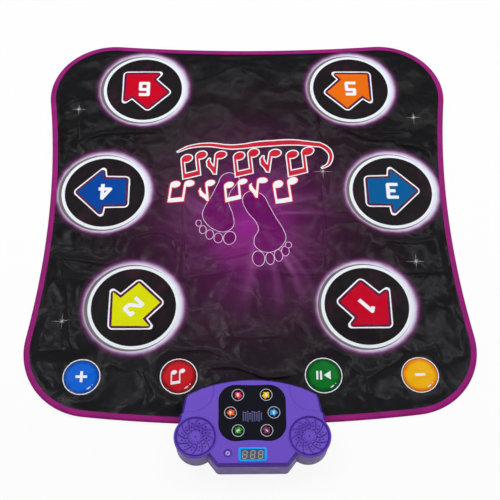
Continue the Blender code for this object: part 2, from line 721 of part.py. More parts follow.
def make_top_shell(group, cutters, plastic):
    outline = console_outline()
    low = CONSOLE_SEAM_Z + FIT_GAP
    mesh = slab_mesh("top_shell", [outline], low, CONSOLE_HEIGHT - CONSOLE_CHAMFER_DROP)
    work = bmesh.new()
    work.from_mesh(mesh)
    level = cos(radians(LEVEL_ANGLE))
    bottom = [face for face in work.faces if face.normal.z < -level]
    bmesh.ops.delete(work, geom=bottom, context="FACES")
    top = [face for face in work.faces if face.normal.z > level]
    deck = bmesh.ops.dissolve_faces(work, faces=top)["region"]
    bmesh.ops.inset_region(work, faces=deck, thickness=CONSOLE_CHAMFER_IN, depth=CONSOLE_CHAMFER_DROP,
                           use_even_offset=True)
    work.to_mesh(mesh)
    work.free()
    shell = place(mesh, "top_shell", group, plastic)
    wall = shell.modifiers.new("wall", "SOLIDIFY")
    wall.thickness = CONSOLE_WALL
    wall.offset = -1.0
    wall.use_even_offset = True
    add_bosses(shell, cutters)
    high = CONSOLE_HEIGHT + BOOL_REACH
    deep = DECK_UNDER - BOOL_REACH
    pods = [(side * POD_X, POD_Y) for side in (-1, 1)]
    holes = cylinders("lamp_hole", LAMP_R + 2 * FIT_GAP, deep, high, SMALL_SIDES, lamp_places())
    holes += cylinders("grille_hole", GRILLE_R + FIT_GAP, deep, high, GRILLE_SIDES, pods)
    holes.append(cylinder_mesh("status_hole", STATUS_R + FIT_GAP, deep, high, SMALL_SIDES,
                               (STATUS_X, STATUS_Y)))
    holes.append(slab_mesh("display_hole", [skirt_outline(FIT_GAP)], deep, high))
    holes.append(knob_box("switch_slot", FIT_GAP, KNOB_TRAVEL, CONSOLE_WALL + BOOL_REACH, BOOL_REACH))
    combine(shell, joined("top_holes", holes), "DIFFERENCE", cutters)
    recess = [slab_mesh("panel_recess", [panel_outline(-FIT_GAP)], CONSOLE_HEIGHT - PANEL_RECESS, high)]
    recess += [slab_mesh("shoulder", [shoulder_outline(side)], CONSOLE_HEIGHT - SHOULDER_DROP, high)
               for side in (-1, 1)]
    slope = 2 * STATUS_DIMPLE_DEPTH
    recess.append(cylinder_mesh("dimple", STATUS_DIMPLE_R - slope, CONSOLE_HEIGHT - STATUS_DIMPLE_DEPTH,
                                CONSOLE_HEIGHT + STATUS_DIMPLE_DEPTH, ROUND_SIDES, (STATUS_X, STATUS_Y),
                                STATUS_DIMPLE_R + slope))
    combine(shell, joined("top_recesses", recess), "DIFFERENCE", cutters)


def add_bosses(shell, cutters):
    """Screw bosses and board standoffs under the deck, each with its pilot hole."""
    screws = shell_screw_places() + clamp_screw_places()
    boards = board_screw_places()
    high = DECK_UNDER + EMBED
    bosses = cylinders("boss", BOSS_R, POST_TOP_Z + FIT_GAP, high, SMALL_SIDES, screws)
    bosses += cylinders("standoff", STANDOFF_R, BOARD_TOP + FIT_GAP, high, SMALL_SIDES, boards)
    combine(shell, joined("top_bosses", bosses), "UNION", cutters)
    holes = cylinders("pilot", SCREW_R + FIT_GAP, POST_TOP_Z - BOOL_REACH, SCREW_TOP_Z + FIT_GAP,
                      SMALL_SIDES, screws)
    holes += cylinders("pilot", BOARD_SCREW_R + FIT_GAP, BOARD_TOP - BOOL_REACH, board_screw_top() + FIT_GAP,
                       HOLE_SIDES, boards)
    combine(shell, joined("pilot_holes", holes), "DIFFERENCE", cutters)


def make_bottom_shell(group, cutters, plastic):
    outline = console_outline()
    inner = inset_loop(outline, CONSOLE_WALL)
    mesh = slab_mesh("bottom_shell", [outline], CONSOLE_FLOOR_Z, CONSOLE_SEAM_Z)
    shell = place(mesh, "bottom_shell", group, plastic)
    wide = WAIST_X + POD_R
    rear = CONSOLE_REAR_Y + BOOL_REACH
    hollow = slab_mesh("tray", [inner], CONSOLE_FLOOR_Z + CONSOLE_WALL, CONSOLE_SEAM_Z + BOOL_REACH)
    tray = combine(shell, hollow, "DIFFERENCE", cutters).object
    raised = box_mesh("raised_floor", (-wide, RISER_Y - CONSOLE_WALL, 0.0), (wide, rear, REAR_FLOOR_TOP))
    combine(tray, raised, "DIFFERENCE", cutters)
    step = [(RISER_Y, -BOOL_REACH), (RISER_Y, LIP_UNDER), (LIP_INNER_Y, LIP_UNDER), (LIP_INNER_Y, REAR_UNDER),
            (rear, REAR_UNDER), (rear, -BOOL_REACH)]
    combine(shell, side_profile_mesh("mat_space", step, -wide, wide), "DIFFERENCE", cutters)
    add_battery_bay(shell, cutters)
    screws = shell_screw_places()
    posts = cylinders("post", POST_R, CONSOLE_FLOOR_Z + EMBED, POST_TOP_Z, SMALL_SIDES, screws)
    posts += cylinders("post", POST_R, REAR_FLOOR_TOP - EMBED, POST_TOP_Z, SMALL_SIDES, clamp_screw_places())
    combine(shell, joined("bottom_posts", posts), "UNION", cutters)
    combine(shell, joined("bottom_holes", bottom_hole_meshes()), "DIFFERENCE", cutters)


def add_battery_bay(shell, cutters):
    """The bay's walls and the door's rails, then the space for the cells and the door's slide."""
    low = CONSOLE_FLOOR_Z + EMBED
    wide = DOOR_HALF_WIDTH + DOOR_FLANGE + CONSOLE_WALL
    front = DOOR_FRONT_Y - DOOR_TRAVEL - CONSOLE_WALL
    rail_top = DOOR_TOP + FIT_GAP + CONSOLE_WALL
    rails = box_mesh("door_rails", (-wide, front, low), (wide, DOOR_REAR_Y + CONSOLE_WALL, rail_top))
    combine(shell, rails, "UNION", cutters)
    half_x = BAY_HALF_WIDTH + BAY_WALL
    half_y = BAY_HALF_DEPTH + BAY_WALL
    bay = box_mesh("bay", (-half_x, BAY_Y - half_y, low), (half_x, BAY_Y + half_y, BAY_TOP + BAY_WALL))
    combine(shell, bay, "UNION", cutters)
    pocket = box_mesh("bay_pocket", (-BAY_HALF_WIDTH, BAY_Y - BAY_HALF_DEPTH, -BOOL_REACH),
                      (BAY_HALF_WIDTH, BAY_Y + BAY_HALF_DEPTH, BAY_TOP))
    combine(shell, pocket, "DIFFERENCE", cutters)
    front = DOOR_FRONT_Y - DOOR_TRAVEL - FIT_GAP
    rear = DOOR_REAR_Y + FIT_GAP
    top = DOOR_TOP + FIT_GAP
    narrow = DOOR_HALF_WIDTH + FIT_GAP
    opening = box_mesh("door_opening", (-narrow, front, -BOOL_REACH), (narrow, rear, top))
    combine(shell, opening, "DIFFERENCE", cutters)
    wider = narrow + DOOR_FLANGE
    groove_low = DOOR_Z + DOOR_PLATE - FIT_GAP
    groove = box_mesh("door_groove", (-wider, front, groove_low), (wider, rear, top))
    combine(shell, groove, "DIFFERENCE", cutters)


def foot_places():
    return [(side * x, y) for x, y in FEET for side in (-1, 1)]


def bottom_hole_meshes():
    holes = []
    for x, y in shell_screw_places():
        neck = SCREW_R + FIT_GAP
        well = SCREW_HEAD_R + FIT_GAP
        profile = [(0.0, POST_TOP_Z + BOOL_REACH), (neck, POST_TOP_Z + BOOL_REACH), (neck, WELL_TOP_Z),
                   (well, WELL_TOP_Z), (well, -BOOL_REACH), (0.0, -BOOL_REACH)]
        mesh = turned_mesh("well", profile, SMALL_SIDES)
        mesh.transform(Matrix.Translation((x, y, 0)))
        holes.append(mesh)
    holes += cylinders("clamp_hole", SCREW_R + FIT_GAP, 0.0, POST_TOP_Z + BOOL_REACH, SMALL_SIDES,
                       clamp_screw_places())
    recess_top = CONSOLE_FLOOR_Z + FOOT_RECESS
    holes += cylinders("foot_recess", FOOT_R + FIT_GAP, -BOOL_REACH, recess_top, SMALL_SIDES, foot_places())
    slot = ribbon_slot(RIBBON_RISE_Y + SLOT_CLEARANCE)
    holes.append(slab_mesh("ribbon_hole", [slot], 0.0, CONSOLE_SEAM_Z))
    return holes


# What sits in the control face

def skirt_outline(grow):
    half_x = WINDOW_WIDTH / 2 + BEZEL_SKIRT + grow
    half_y = WINDOW_DEPTH / 2 + BEZEL_SKIRT + grow
    return rounded_box(half_x, half_y, WINDOW_CORNER_R + BEZEL_SKIRT + grow, (0.0, BEZEL_Y))


def window_outline(shrink):
    half_x = WINDOW_WIDTH / 2 - shrink
    half_y = WINDOW_DEPTH / 2 - shrink
    return rounded_box(half_x, half_y, WINDOW_CORNER_R, (0.0, BEZEL_Y))


def make_face(group, cutters):
    ink = material("overlay_panel", (0.012, 0.012, 0.022), 0.3)
    panel = slab_mesh("overlay_panel", [panel_outline(0.0)], PANEL_Z, PANEL_Z + PANEL_THICKNESS)
    place(panel, "overlay_panel", group, ink)
    cyan = material("display_bezel", (0.0, 0.38, 0.93), 0.35)
    frame_low = CONSOLE_HEIGHT + FIT_GAP
    outer = rounded_box(BEZEL_WIDTH / 2, BEZEL_DEPTH / 2, BEZEL_CORNER_R, (0.0, BEZEL_Y))
    window = window_outline(0.0)
    frame = slab_mesh("display_bezel", [outer, window], frame_low, frame_low + BEZEL_HEIGHT)
    bezel = place(frame, "display_bezel", group, cyan)
    skirt = slab_mesh("bezel_skirt", [skirt_outline(0.0), window], DECK_UNDER, frame_low + EMBED)
    combine(bezel, skirt, "UNION", cutters)
    smoke = material("display_module", (0.05, 0.05, 0.055), 0.25)
    low = BOARD_TOP + FIT_GAP
    module = slab_mesh("display_module", [window_outline(FIT_GAP)], low, CONSOLE_HEIGHT - FIT_GAP)
    place(module, "display_module", group, smoke)
    clear = material("lamp_resin", (0.8, 0.82, 0.85), 0.1, 0.0, 0.6)
    status = turned_mesh("status_lamp", dome_profile(STATUS_R, low, CONSOLE_HEIGHT + FIT_GAP), SMALL_SIDES)
    place_round(status, "status_lamp", group, clear, (STATUS_X, STATUS_Y))
    lamp_top = CONSOLE_HEIGHT - PANEL_RECESS - 2 * FIT_GAP
    profile = dome_profile(LAMP_R, low, lamp_top)
    for i, spot in enumerate(lamp_places()):
        name = "indicator_lamp_%d" % (i + 1)
        place_round(turned_mesh(name, profile, SMALL_SIDES), name, group, clear, spot)


def dome_profile(radius, low, high):
    """A rod with a round top, from its tip down."""
    cap = arc((0.0, high - radius), radius, pi / 2, 0.0, SMALL_STEPS)
    tip = [(0.0, high)] + cap[1:]
    return tip + [(radius, low), (0.0, low)]


def make_grilles(group, cutters, plastic):
    top = CONSOLE_HEIGHT - FIT_GAP
    low = top - GRILLE_THICKNESS
    hub_low = low - GRILLE_DISH / 2
    hub_top = top - GRILLE_DISH
    profile = [(0.0, hub_top), (GRILLE_HUB_R, hub_top), (GRILLE_FLAT_R, top), (GRILLE_R, top),
               (GRILLE_R, low), (GRILLE_SEAT_R, low), (GRILLE_HUB_R, hub_low), (0.0, hub_low)]
    for side, name in ((-1, "speaker_grille_left"), (1, "speaker_grille_right")):
        spot = (side * POD_X, POD_Y)
        grille = place_round(turned_mesh(name, profile, GRILLE_SIDES), name, group, plastic, spot)
        holes = [grille_hole(0.0, 0.0)]
        for ring, radius in enumerate(GRILLE_RINGS):
            for ray in range(GRILLE_RAYS):
                turn = 2 * pi * ray / GRILLE_RAYS + side * radians(GRILLE_RAY_TWIST) * ring
                holes.append(grille_hole(radius * cos(turn), radius * sin(turn)))
        mesh = joined(name + "_holes", holes)
        mesh.transform(Matrix.Translation((*spot, 0)))
        combine(grille, mesh, "DIFFERENCE", cutters)


def grille_hole(x, y):
    low = CONSOLE_HEIGHT - GRILLE_THICKNESS - GRILLE_DISH - BOOL_REACH
    return cylinder_mesh("grille_hole", GRILLE_HOLE_R, low, CONSOLE_HEIGHT + BOOL_REACH, HOLE_SIDES, (x, y))


def make_speakers(group):
    steel = material("speaker_steel", (0.30, 0.30, 0.32), 0.4, 1.0)
    paper = material("speaker_paper", (0.02, 0.02, 0.02), 0.9)
    top = CONSOLE_HEIGHT - FIT_GAP - GRILLE_THICKNESS - FIT_GAP
    flange_low = top - SPEAKER_FLANGE_THICKNESS
    bottom = top - SPEAKER_DEPTH
    back = bottom + SPEAKER_MAGNET_HEIGHT
    skin = SPEAKER_SKIN
    inner = SPEAKER_BASKET_R - skin
    cone_top = top - GRILLE_DISH - CONE_TRAVEL - FIT_GAP
    ring_low = cone_top - CONE_SKIN - CONE_TRAVEL - FIT_GAP
    inside = back + skin
    basket = [(SPEAKER_FLANGE_R, top), (SPEAKER_FLANGE_R, flange_low), (SPEAKER_BASKET_R, flange_low),
              (SPEAKER_BASKET_R, ring_low), (SPEAKER_MAGNET_R, back), (SPEAKER_MAGNET_R, bottom),
              (0.0, bottom), (0.0, inside), (SPEAKER_MAGNET_R - skin, inside), (inner, ring_low),
              (inner, top)]
    rim = inner - FIT_GAP
    dip = cone_top - CONE_DEPTH
    under = dip - CONE_SKIN
    shoulder = (DUST_CAP_R / 2, dip + DUST_CAP_RISE * 3 / 4)
    cone = [(rim, cone_top), (rim, cone_top - CONE_SKIN), (DUST_CAP_R, under), (0.0, under),
            (0.0, dip + DUST_CAP_RISE), shoulder, (DUST_CAP_R, dip), (rim - CONE_RIM, cone_top)]
    for side, tail in ((-1, "left"), (1, "right")):
        spot = (side * POD_X, POD_Y)
        body = turned_mesh("speaker_" + tail, basket, SPEAKER_SIDES, closed=True)
        place_round(body, "speaker_" + tail, group, steel, spot)
        dish = turned_mesh("speaker_cone_" + tail, cone, SPEAKER_SIDES, closed=True)
        place_round(dish, "speaker_cone_" + tail, group, paper, spot)


# Board, switch and battery bay

def board_screw_places():
    return [(side * BOARD_SCREW_X, BOARD_SCREW_Y) for side in (-1, 1)]


def board_screw_top():
    return BOARD_TOP + FIT_GAP + BOARD_SCREW_GRIP


def make_board(group):
    green = material("main_board", (0.01, 0.12, 0.04), 0.5)
    steel = bpy.data.materials["screw_steel"]
    centre = (0.0, (BOARD_REAR_Y + BOARD_FRONT_Y) / 2)
    outline = rounded_box(BOARD_HALF_WIDTH, (BOARD_REAR_Y - BOARD_FRONT_Y) / 2, STANDOFF_R, centre)
    holes = [circle(spot, BOARD_SCREW_R + FIT_GAP, HOLE_SIDES) for spot in board_screw_places()]
    place(slab_mesh("main_board", [outline] + holes, BOARD_Z, BOARD_TOP), "main_board", group, green)
    head_top = BOARD_Z - FIT_GAP
    head_low = head_top - BOARD_SCREW_HEAD
    tip = board_screw_top()
    profile = [(0.0, tip), (BOARD_SCREW_R, tip - BOARD_SCREW_R), (BOARD_SCREW_R, head_top),
               (BOARD_SCREW_HEAD_R, head_top), (BOARD_SCREW_HEAD_R, head_low), (0.0, head_low)]
    for i, spot in enumerate(board_screw_places()):
        name = "board_screw_%d" % (i + 1)
        place_round(turned_mesh(name, profile, HOLE_SIDES), name, group, steel, spot)


def make_shell_screws(group):
    steel = bpy.data.materials["screw_steel"]
    head_top = WELL_TOP_Z - FIT_GAP
    head_low = head_top - SCREW_HEAD
    profile = screw_tip() + [(SCREW_R, head_top), (SCREW_HEAD_R, head_top), (SCREW_HEAD_R, head_low),
                             (0.0, head_low)]
    for i, spot in enumerate(shell_screw_places()):
        name = "shell_screw_%d" % (i + 1)
        place_round(turned_mesh(name, profile, SMALL_SIDES), name, group, steel, spot)


def make_feet(group):
    rubber = material("foot_rubber", (0.02, 0.02, 0.02), 0.85)
    top = CONSOLE_FLOOR_Z + FOOT_RECESS - FIT_GAP
    for i, spot in enumerate(foot_places()):
        name = "foot_%d" % (i + 1)
        mesh = cylinder_mesh(name, FOOT_BASE_R, 0.0, top, SMALL_SIDES, top_radius=FOOT_R)
        place_round(mesh, name, group, rubber, spot)


def knob_box(name, grow, travel, inside, proud):
    """A box in the switch's own directions: along the wall, up, and out of the wall."""
    half = KNOB_LENGTH / 2 + grow
    tall = KNOB_HEIGHT / 2 + grow
    start = -KNOB_TRAVEL / 2
    mesh = box_mesh(name, (start - half, -inside, -tall), (start + half + travel, proud, tall))
    mesh.transform(switch_matrix())
    return mesh


def switch_matrix():
    middle, along, out = wall_frame()
    turn = Matrix((along, out, (0, 0, 1))).transposed().to_4x4()
    return Matrix.Translation((middle.x, middle.y, SWITCH_Z)) @ turn


def make_switch(group, cutters):
    black = material("switch_black", (0.02, 0.02, 0.022), 0.45)
    near = CONSOLE_WALL + FIT_GAP
    half = SWITCH_LENGTH / 2
    tall = SWITCH_HEIGHT / 2
    mesh = box_mesh("power_switch", (-half, -near - SWITCH_DEPTH, -tall), (half, -near, tall))
    mesh.transform(switch_matrix())
    body = place(mesh, "power_switch", group, black)
    slot = knob_box("switch_groove", FIT_GAP, KNOB_TRAVEL, near + KNOB_INSIDE + FIT_GAP, BOOL_REACH)
    combine(body, slot, "DIFFERENCE", cutters)
    knob = box_mesh("power_knob", (-KNOB_LENGTH / 2, -near - KNOB_INSIDE, -KNOB_HEIGHT / 2),
                    (KNOB_LENGTH / 2, KNOB_PROUD, KNOB_HEIGHT / 2))
    start = switch_matrix() @ Matrix.Translation((-KNOB_TRAVEL / 2, 0, 0))
    place(knob, "power_knob", group, black, start)


def make_battery(group, cutters):
    plastic = bpy.data.materials["console_plastic"]
    steel = bpy.data.materials["plate_steel"]
    jacket = material("battery_jacket", (0.03, 0.03, 0.035), 0.35)
    half = DOOR_LENGTH / 2
    thick = DOOR_PLATE + DOOR_FLANGE_THICKNESS
    plate = box_mesh("battery_door", (-DOOR_HALF_WIDTH, -half, 0.0), (DOOR_HALF_WIDTH, half, thick))
    where = Matrix.Translation((0.0, BAY_Y, DOOR_Z))
    door = place(plate, "battery_door", group, plastic, where)
    wide = DOOR_HALF_WIDTH + DOOR_FLANGE
    flange = box_mesh("door_flange", (-wide, -half, DOOR_PLATE), (wide, half, thick))
    flange.transform(where)
    combine(door, flange, "UNION", cutters)
    end = (CELL_LENGTH + CELL_NUB) / 2
    seat = end - CELL_NUB
    profile = [(0.0, end), (CELL_NUB_R, end), (CELL_NUB_R, seat), (CELL_R, seat), (CELL_R, -end), (0.0, -end)]
    for i in range(CELL_COUNT):
        name = "battery_cell_%d" % (i + 1)
        y = BAY_Y + (i - (CELL_COUNT - 1) / 2) * CELL_PITCH
        turn = Matrix.Rotation(pi / 2 if i % 2 else -pi / 2, 4, "Y")
        cell = turned_mesh(name, profile, ROUND_SIDES)
        smooth(place(cell, name, group, jacket, Matrix.Translation((0.0, y, CELL_Z)) @ turn))
    near = end + FIT_GAP
    for side, name in ((-1, "battery_contact_left"), (1, "battery_contact_right")):
        low_x = min(side * near, side * (near + CONTACT_THICKNESS))
        mesh = box_mesh(name, (low_x, BAY_Y - BAY_HALF_DEPTH + FIT_GAP, DOOR_TOP + FIT_GAP),
                        (low_x + CONTACT_THICKNESS, BAY_Y + BAY_HALF_DEPTH - FIT_GAP, BAY_TOP - FIT_GAP))
        place(mesh, name, group, steel)


def make_console(group, cutters):
    plastic = material("console_plastic", (0.13, 0.06, 0.48), 0.42)
    make_bottom_shell(group, cutters, plastic)
    make_top_shell(group, cutters, plastic)
    make_face(group, cutters)
    make_grilles(group, cutters, plastic)
    make_speakers(group)
    make_board(group)
    make_shell_screws(group)
    make_feet(group)
    make_switch(group, cutters)
    make_battery(group, cutters)


clear_scene()
parts = new_collection("dance_mat")
tools = new_collection("cutters")
make_mat(parts)
make_clamp(parts, tools)
make_ribbon(parts)
make_console(parts, tools)
bpy.context.view_layer.update()
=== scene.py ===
# Electronic dance mat: printed cloth, ten pads and the console's finish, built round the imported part.
import bpy
import json
import math
import numpy as np
from mathutils import Matrix, Vector
from mathutils.geometry import delaunay_2d_cdt
from mathutils.kdtree import KDTree


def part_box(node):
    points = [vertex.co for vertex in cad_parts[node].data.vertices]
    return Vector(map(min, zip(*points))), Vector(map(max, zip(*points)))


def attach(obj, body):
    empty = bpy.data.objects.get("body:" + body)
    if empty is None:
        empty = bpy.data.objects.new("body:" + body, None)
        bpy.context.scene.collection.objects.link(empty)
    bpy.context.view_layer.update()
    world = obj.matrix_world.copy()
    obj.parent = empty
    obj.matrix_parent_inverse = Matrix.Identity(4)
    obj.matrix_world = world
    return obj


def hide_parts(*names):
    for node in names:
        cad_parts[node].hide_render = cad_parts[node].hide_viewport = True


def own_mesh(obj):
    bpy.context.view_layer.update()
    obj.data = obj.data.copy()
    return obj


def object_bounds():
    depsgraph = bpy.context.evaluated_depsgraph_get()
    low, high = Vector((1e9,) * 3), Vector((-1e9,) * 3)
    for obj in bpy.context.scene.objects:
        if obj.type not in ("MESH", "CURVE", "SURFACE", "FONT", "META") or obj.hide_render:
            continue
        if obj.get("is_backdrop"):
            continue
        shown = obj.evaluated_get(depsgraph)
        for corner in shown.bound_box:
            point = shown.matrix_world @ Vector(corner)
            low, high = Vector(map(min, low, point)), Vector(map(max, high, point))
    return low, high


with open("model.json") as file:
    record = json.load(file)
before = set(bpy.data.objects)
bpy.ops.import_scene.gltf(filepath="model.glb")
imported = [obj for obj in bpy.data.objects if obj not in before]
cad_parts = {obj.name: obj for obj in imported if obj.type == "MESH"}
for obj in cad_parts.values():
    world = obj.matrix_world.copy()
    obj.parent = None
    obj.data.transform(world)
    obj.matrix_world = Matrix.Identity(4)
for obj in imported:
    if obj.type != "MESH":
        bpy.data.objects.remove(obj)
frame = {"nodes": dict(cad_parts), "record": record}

nodes = frame["nodes"]
cadLow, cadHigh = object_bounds()
scene = bpy.context.scene


# shapes on the flat: arrays of points, one row each

def unit(vectors):
    return vectors / np.maximum(np.linalg.norm(vectors, axis=-1, keepdims=True), 1e-12)


def left(vectors):  # a quarter turn to the left
    return np.stack([-vectors[..., 1], vectors[..., 0]], -1)


def ellipse(x, y, radiusX, radiusY=None, tilt=0.0, count=24):
    turns = np.linspace(0, 2 * math.pi, count, endpoint=False)
    across, up = radiusX * np.cos(turns), (radiusY or radiusX) * np.sin(turns)
    c, s = math.cos(math.radians(tilt)), math.sin(math.radians(tilt))
    return np.column_stack([x + across * c - up * s, y + across * s + up * c])


def box(x1, y1, x2, y2):
    return np.array([(x1, y1), (x2, y1), (x2, y2), (x1, y2)], float)


def area(loop):
    x, y = np.asarray(loop).T
    return 0.5 * float(np.sum(x * np.roll(y, -1) - np.roll(x, -1) * y))


def grown(loop, distance):  # a border of one width round a shape
    loop = np.asarray(loop, float)
    loop = loop if area(loop) > 0 else loop[::-1]
    first, second = -left(unit(loop - np.roll(loop, 1, 0))), -left(unit(np.roll(loop, -1, 0) - loop))
    share = distance / np.maximum(1 + np.sum(first * second, 1), 0.45)
    return loop + (first + second) * share[:, None]


def rounded(loop, radius, steps=4):  # fillets at the corners, as far as the sides are long enough
    loop = np.asarray(loop, float)
    made, radii = [], np.broadcast_to(radius, len(loop))
    for i, corner in enumerate(loop):
        before, after = loop[i - 1] - corner, loop[(i + 1) % len(loop)] - corner
        half = math.acos(np.clip(unit(before) @ unit(after), -1, 1)) / 2
        room = 0.48 * min(np.linalg.norm(before), np.linalg.norm(after))
        reach = min(radii[i] / max(math.tan(half), 0.05), room)
        start, end, weight = corner + unit(before) * reach, corner + unit(after) * reach, math.sin(half)
        for t in np.linspace(0, 1, steps + 1):
            shares = np.array([(1 - t) ** 2, 2 * weight * t * (1 - t), t * t])
            made.append((shares[0] * start + shares[1] * corner + shares[2] * end) / shares.sum())
    return np.array(made)


def smooth(points, steps=5, closed=True):  # a curve through the points
    points = np.asarray(points, float)
    count, made = len(points), []
    for i in range(count if closed else count - 1):
        near = [(i + k) % count if closed else min(max(i + k, 0), count - 1) for k in (-1, 0, 1, 2)]
        a, b, c, d = points[near]
        for t in np.arange(steps) / steps:
            bend = (2 * a - 5 * b + 4 * c - d) * t * t
            made.append(0.5 * (2 * b + (c - a) * t + bend + (3 * b - a - 3 * c + d) * t ** 3))
    return np.array(made if closed else made + [points[-1]])


def strokes(line, width):  # a thick line as bars with round joints
    line = np.asarray(line, float)
    made = []
    for a, b in zip(line[:-1], line[1:]):
        side = left(unit(b - a)) * width / 2
        made.append(np.array([a + side, a - side, b - side, b + side]))
    return made + [ellipse(*p, width / 2, count=12) for p in line[1:-1]]


def band(line, widths):  # one polygon along a line
    line = np.asarray(line, float)
    side = left(unit(np.gradient(line, axis=0))) * (np.asarray(widths, float)[:, None] / 2)
    return np.concatenate([line + side, (line - side)[::-1]])


def closer(loop, step):  # more points along the long edges
    loop = np.asarray(loop, float)
    made = []
    for a, b in zip(loop, np.roll(loop, -1, 0)):
        count = max(1, int(math.ceil(np.linalg.norm(b - a) / step)))
        made += [a + (b - a) * k / count for k in range(count)]
    return np.array(made)


def put(shapes, x, y, scale=1.0, up=(0.0, 1.0)):  # shapes drawn in millimetres, placed on the mat in metres
    up = unit(np.array(up, float))
    spot, right, shapes = np.array([x, y]) / 1000, -left(up), [np.asarray(s) for s in shapes]
    return [spot + (s[:, :1] * right + s[:, 1:] * up) * scale / 1000 for s in shapes]


def within(points, loop):  # which points lie inside the loop
    loop = np.asarray(loop, float)
    near = np.flatnonzero(((points >= loop.min(0)) & (points <= loop.max(0))).all(1))
    x, y = points[near].T
    inside = np.zeros(len(near), bool)
    for (ax, ay), (bx, by) in zip(loop, np.roll(loop, -1, 0)):
        if ay != by:
            inside ^= ((ay > y) != (by > y)) & (x < (bx - ax) * (y - ay) / (by - ay) + ax)
    found = np.zeros(len(points), bool)
    found[near[inside]] = True
    return found


def measured(points, line, closed=False):  # distance to a line, side of it, way along it, and its length
    line = np.asarray(line, float)
    nearest, side, walked = np.full(len(points), 9.0), np.zeros(len(points)), np.zeros(len(points))
    walk = 0.0
    for a, b in zip(line, np.roll(line, -1, 0) if closed else line[1:]):
        run = b - a
        length = np.linalg.norm(run)
        t = np.clip(((points - a) @ run) / max(run @ run, 1e-12), 0, 1)
        gap = points - a - t[:, None] * run
        away = np.hypot(*gap.T)
        here = away < nearest
        nearest[here] = away[here]
        side[here] = np.sign(run[0] * gap[here, 1] - run[1] * gap[here, 0])
        walked[here] = walk + t[here] * length
        walk += length
    return nearest, side, walked, walk


def eased(values, low, high):
    t = np.clip((values - low) / (high - low), 0, 1)
    return t * t * (3 - 2 * t)


# objects and operators

def newObject(name, points, faces, materials=()):
    mesh = bpy.data.meshes.new(name)
    mesh.from_pydata(points, [], faces)
    for material in materials:
        mesh.materials.append(material)
    mesh.polygons.foreach_set("use_smooth", np.ones(len(faces), bool))
    made = bpy.data.objects.new(name, mesh)
    scene.collection.objects.link(made)
    return made


def alone(thing):  # nothing else selected
    bpy.ops.object.select_all(action="DESELECT")
    thing.select_set(True)
    bpy.context.view_layer.objects.active = thing


def applied(thing, kind, **settings):
    alone(thing)
    modifier = thing.modifiers.new(kind.lower(), kind)
    for key, value in settings.items():
        setattr(modifier, key, value)
    bpy.ops.object.modifier_apply(modifier=modifier.name)


def combined(thing, other, operation="DIFFERENCE"):
    applied(thing, "BOOLEAN", object=other, operation=operation, solver="EXACT")
    bpy.data.objects.remove(other)


def mended(thing, merge=False):  # its faces turned outward
    alone(thing)
    bpy.ops.object.mode_set(mode="EDIT")
    bpy.ops.mesh.select_all(action="SELECT")
    if merge:
        bpy.ops.mesh.remove_doubles(threshold=0.00001)
    bpy.ops.mesh.normals_make_consistent(inside=False)
    bpy.ops.object.mode_set(mode="OBJECT")


def blank(x, y, low, high, radius, topRadius=None, sides=96):  # a cylinder or a cone
    bpy.ops.object.select_all(action="DESELECT")
    bpy.ops.mesh.primitive_cone_add(vertices=sides, radius1=radius, radius2=topRadius or radius,
                                    depth=high - low, location=(x, y, (low + high) / 2))
    bpy.ops.object.transform_apply(location=True, rotation=True, scale=True)
    return bpy.context.active_object


def smoothed(thing, degrees):
    alone(thing)
    bpy.ops.object.shade_smooth_by_angle(angle=math.radians(degrees))


# nodes of the materials

def tone(*seen):  # a colour as it is seen, 0 to 255
    return tuple(((c / 255 + 0.055) / 1.055) ** 2.4 if c > 10 else c / 255 / 12.92 for c in seen) + (1.0,)


def shaded(colour, share):
    return tuple(c * share for c in colour[:3]) + (1.0,)


def part(tree, kind, inputs=None, **settings):
    made = tree.nodes.new("ShaderNode" + kind)
    for key, value in settings.items():
        setattr(made, key, value)
    for key, value in (inputs or {}).items():
        if isinstance(value, bpy.types.NodeSocket):
            tree.links.new(value, made.inputs[key])
        else:
            made.inputs[key].default_value = value
    return made


def sums(tree, operation, a, b=0.0, c=0.0):
    return part(tree, "Math", {0: a, 1: b, 2: c}, operation=operation).outputs[0]


def vectors(tree, operation, a, b=(0, 0, 0)):
    made = part(tree, "VectorMath", {0: a, 1: b}, operation=operation)
    return made.outputs["Value" if operation in ("LENGTH", "DISTANCE") else "Vector"]


def axis(tree, place, name):
    return part(tree, "SeparateXYZ", {0: place}).outputs[name]


def spread(tree, value, low, high, first=0.0, last=1.0, kind="SMOOTHSTEP"):
    inputs = {"Value": value, "From Min": low, "From Max": high, "To Min": first, "To Max": last}
    return part(tree, "MapRange", inputs, interpolation_type=kind).outputs[0]


def mixed(tree, share, one, two, blend="MIX"):
    return part(tree, "Mix", {0: share, 6: one, 7: two}, data_type="RGBA", blend_type=blend).outputs[2]


def ramp(tree, value, stops):
    made = part(tree, "ValToRGB", {"Fac": value})
    colours = made.color_ramp
    while len(colours.elements) < len(stops):
        colours.elements.new(0.5)
    for element, (place, colour) in zip(colours.elements, stops):
        element.position, element.color = place, colour
    return made.outputs


def noise(tree, place, scale, detail=2.0, rough=0.5, distortion=0.0, output=0):
    inputs = {"Vector": place, "Scale": scale, "Detail": detail, "Roughness": rough, "Distortion": distortion}
    return part(tree, "TexNoise", inputs).outputs[output]


def mottled(tree, place, scale, low, high):
    return spread(tree, noise(tree, place, scale, 3.0), 0.3, 0.7, low, high)


def newMaterial(name, roughness=0.5, metallic=0.0, specular=0.5):
    made = bpy.data.materials.new(name)
    made.use_nodes = True
    inputs = made.node_tree.nodes["Principled BSDF"].inputs
    for key, value in {"Roughness": roughness, "Metallic": metallic, "Specular IOR Level": specular}.items():
        inputs[key].default_value = value
    return made, made.node_tree, part(made.node_tree, "TexCoord").outputs["Object"]


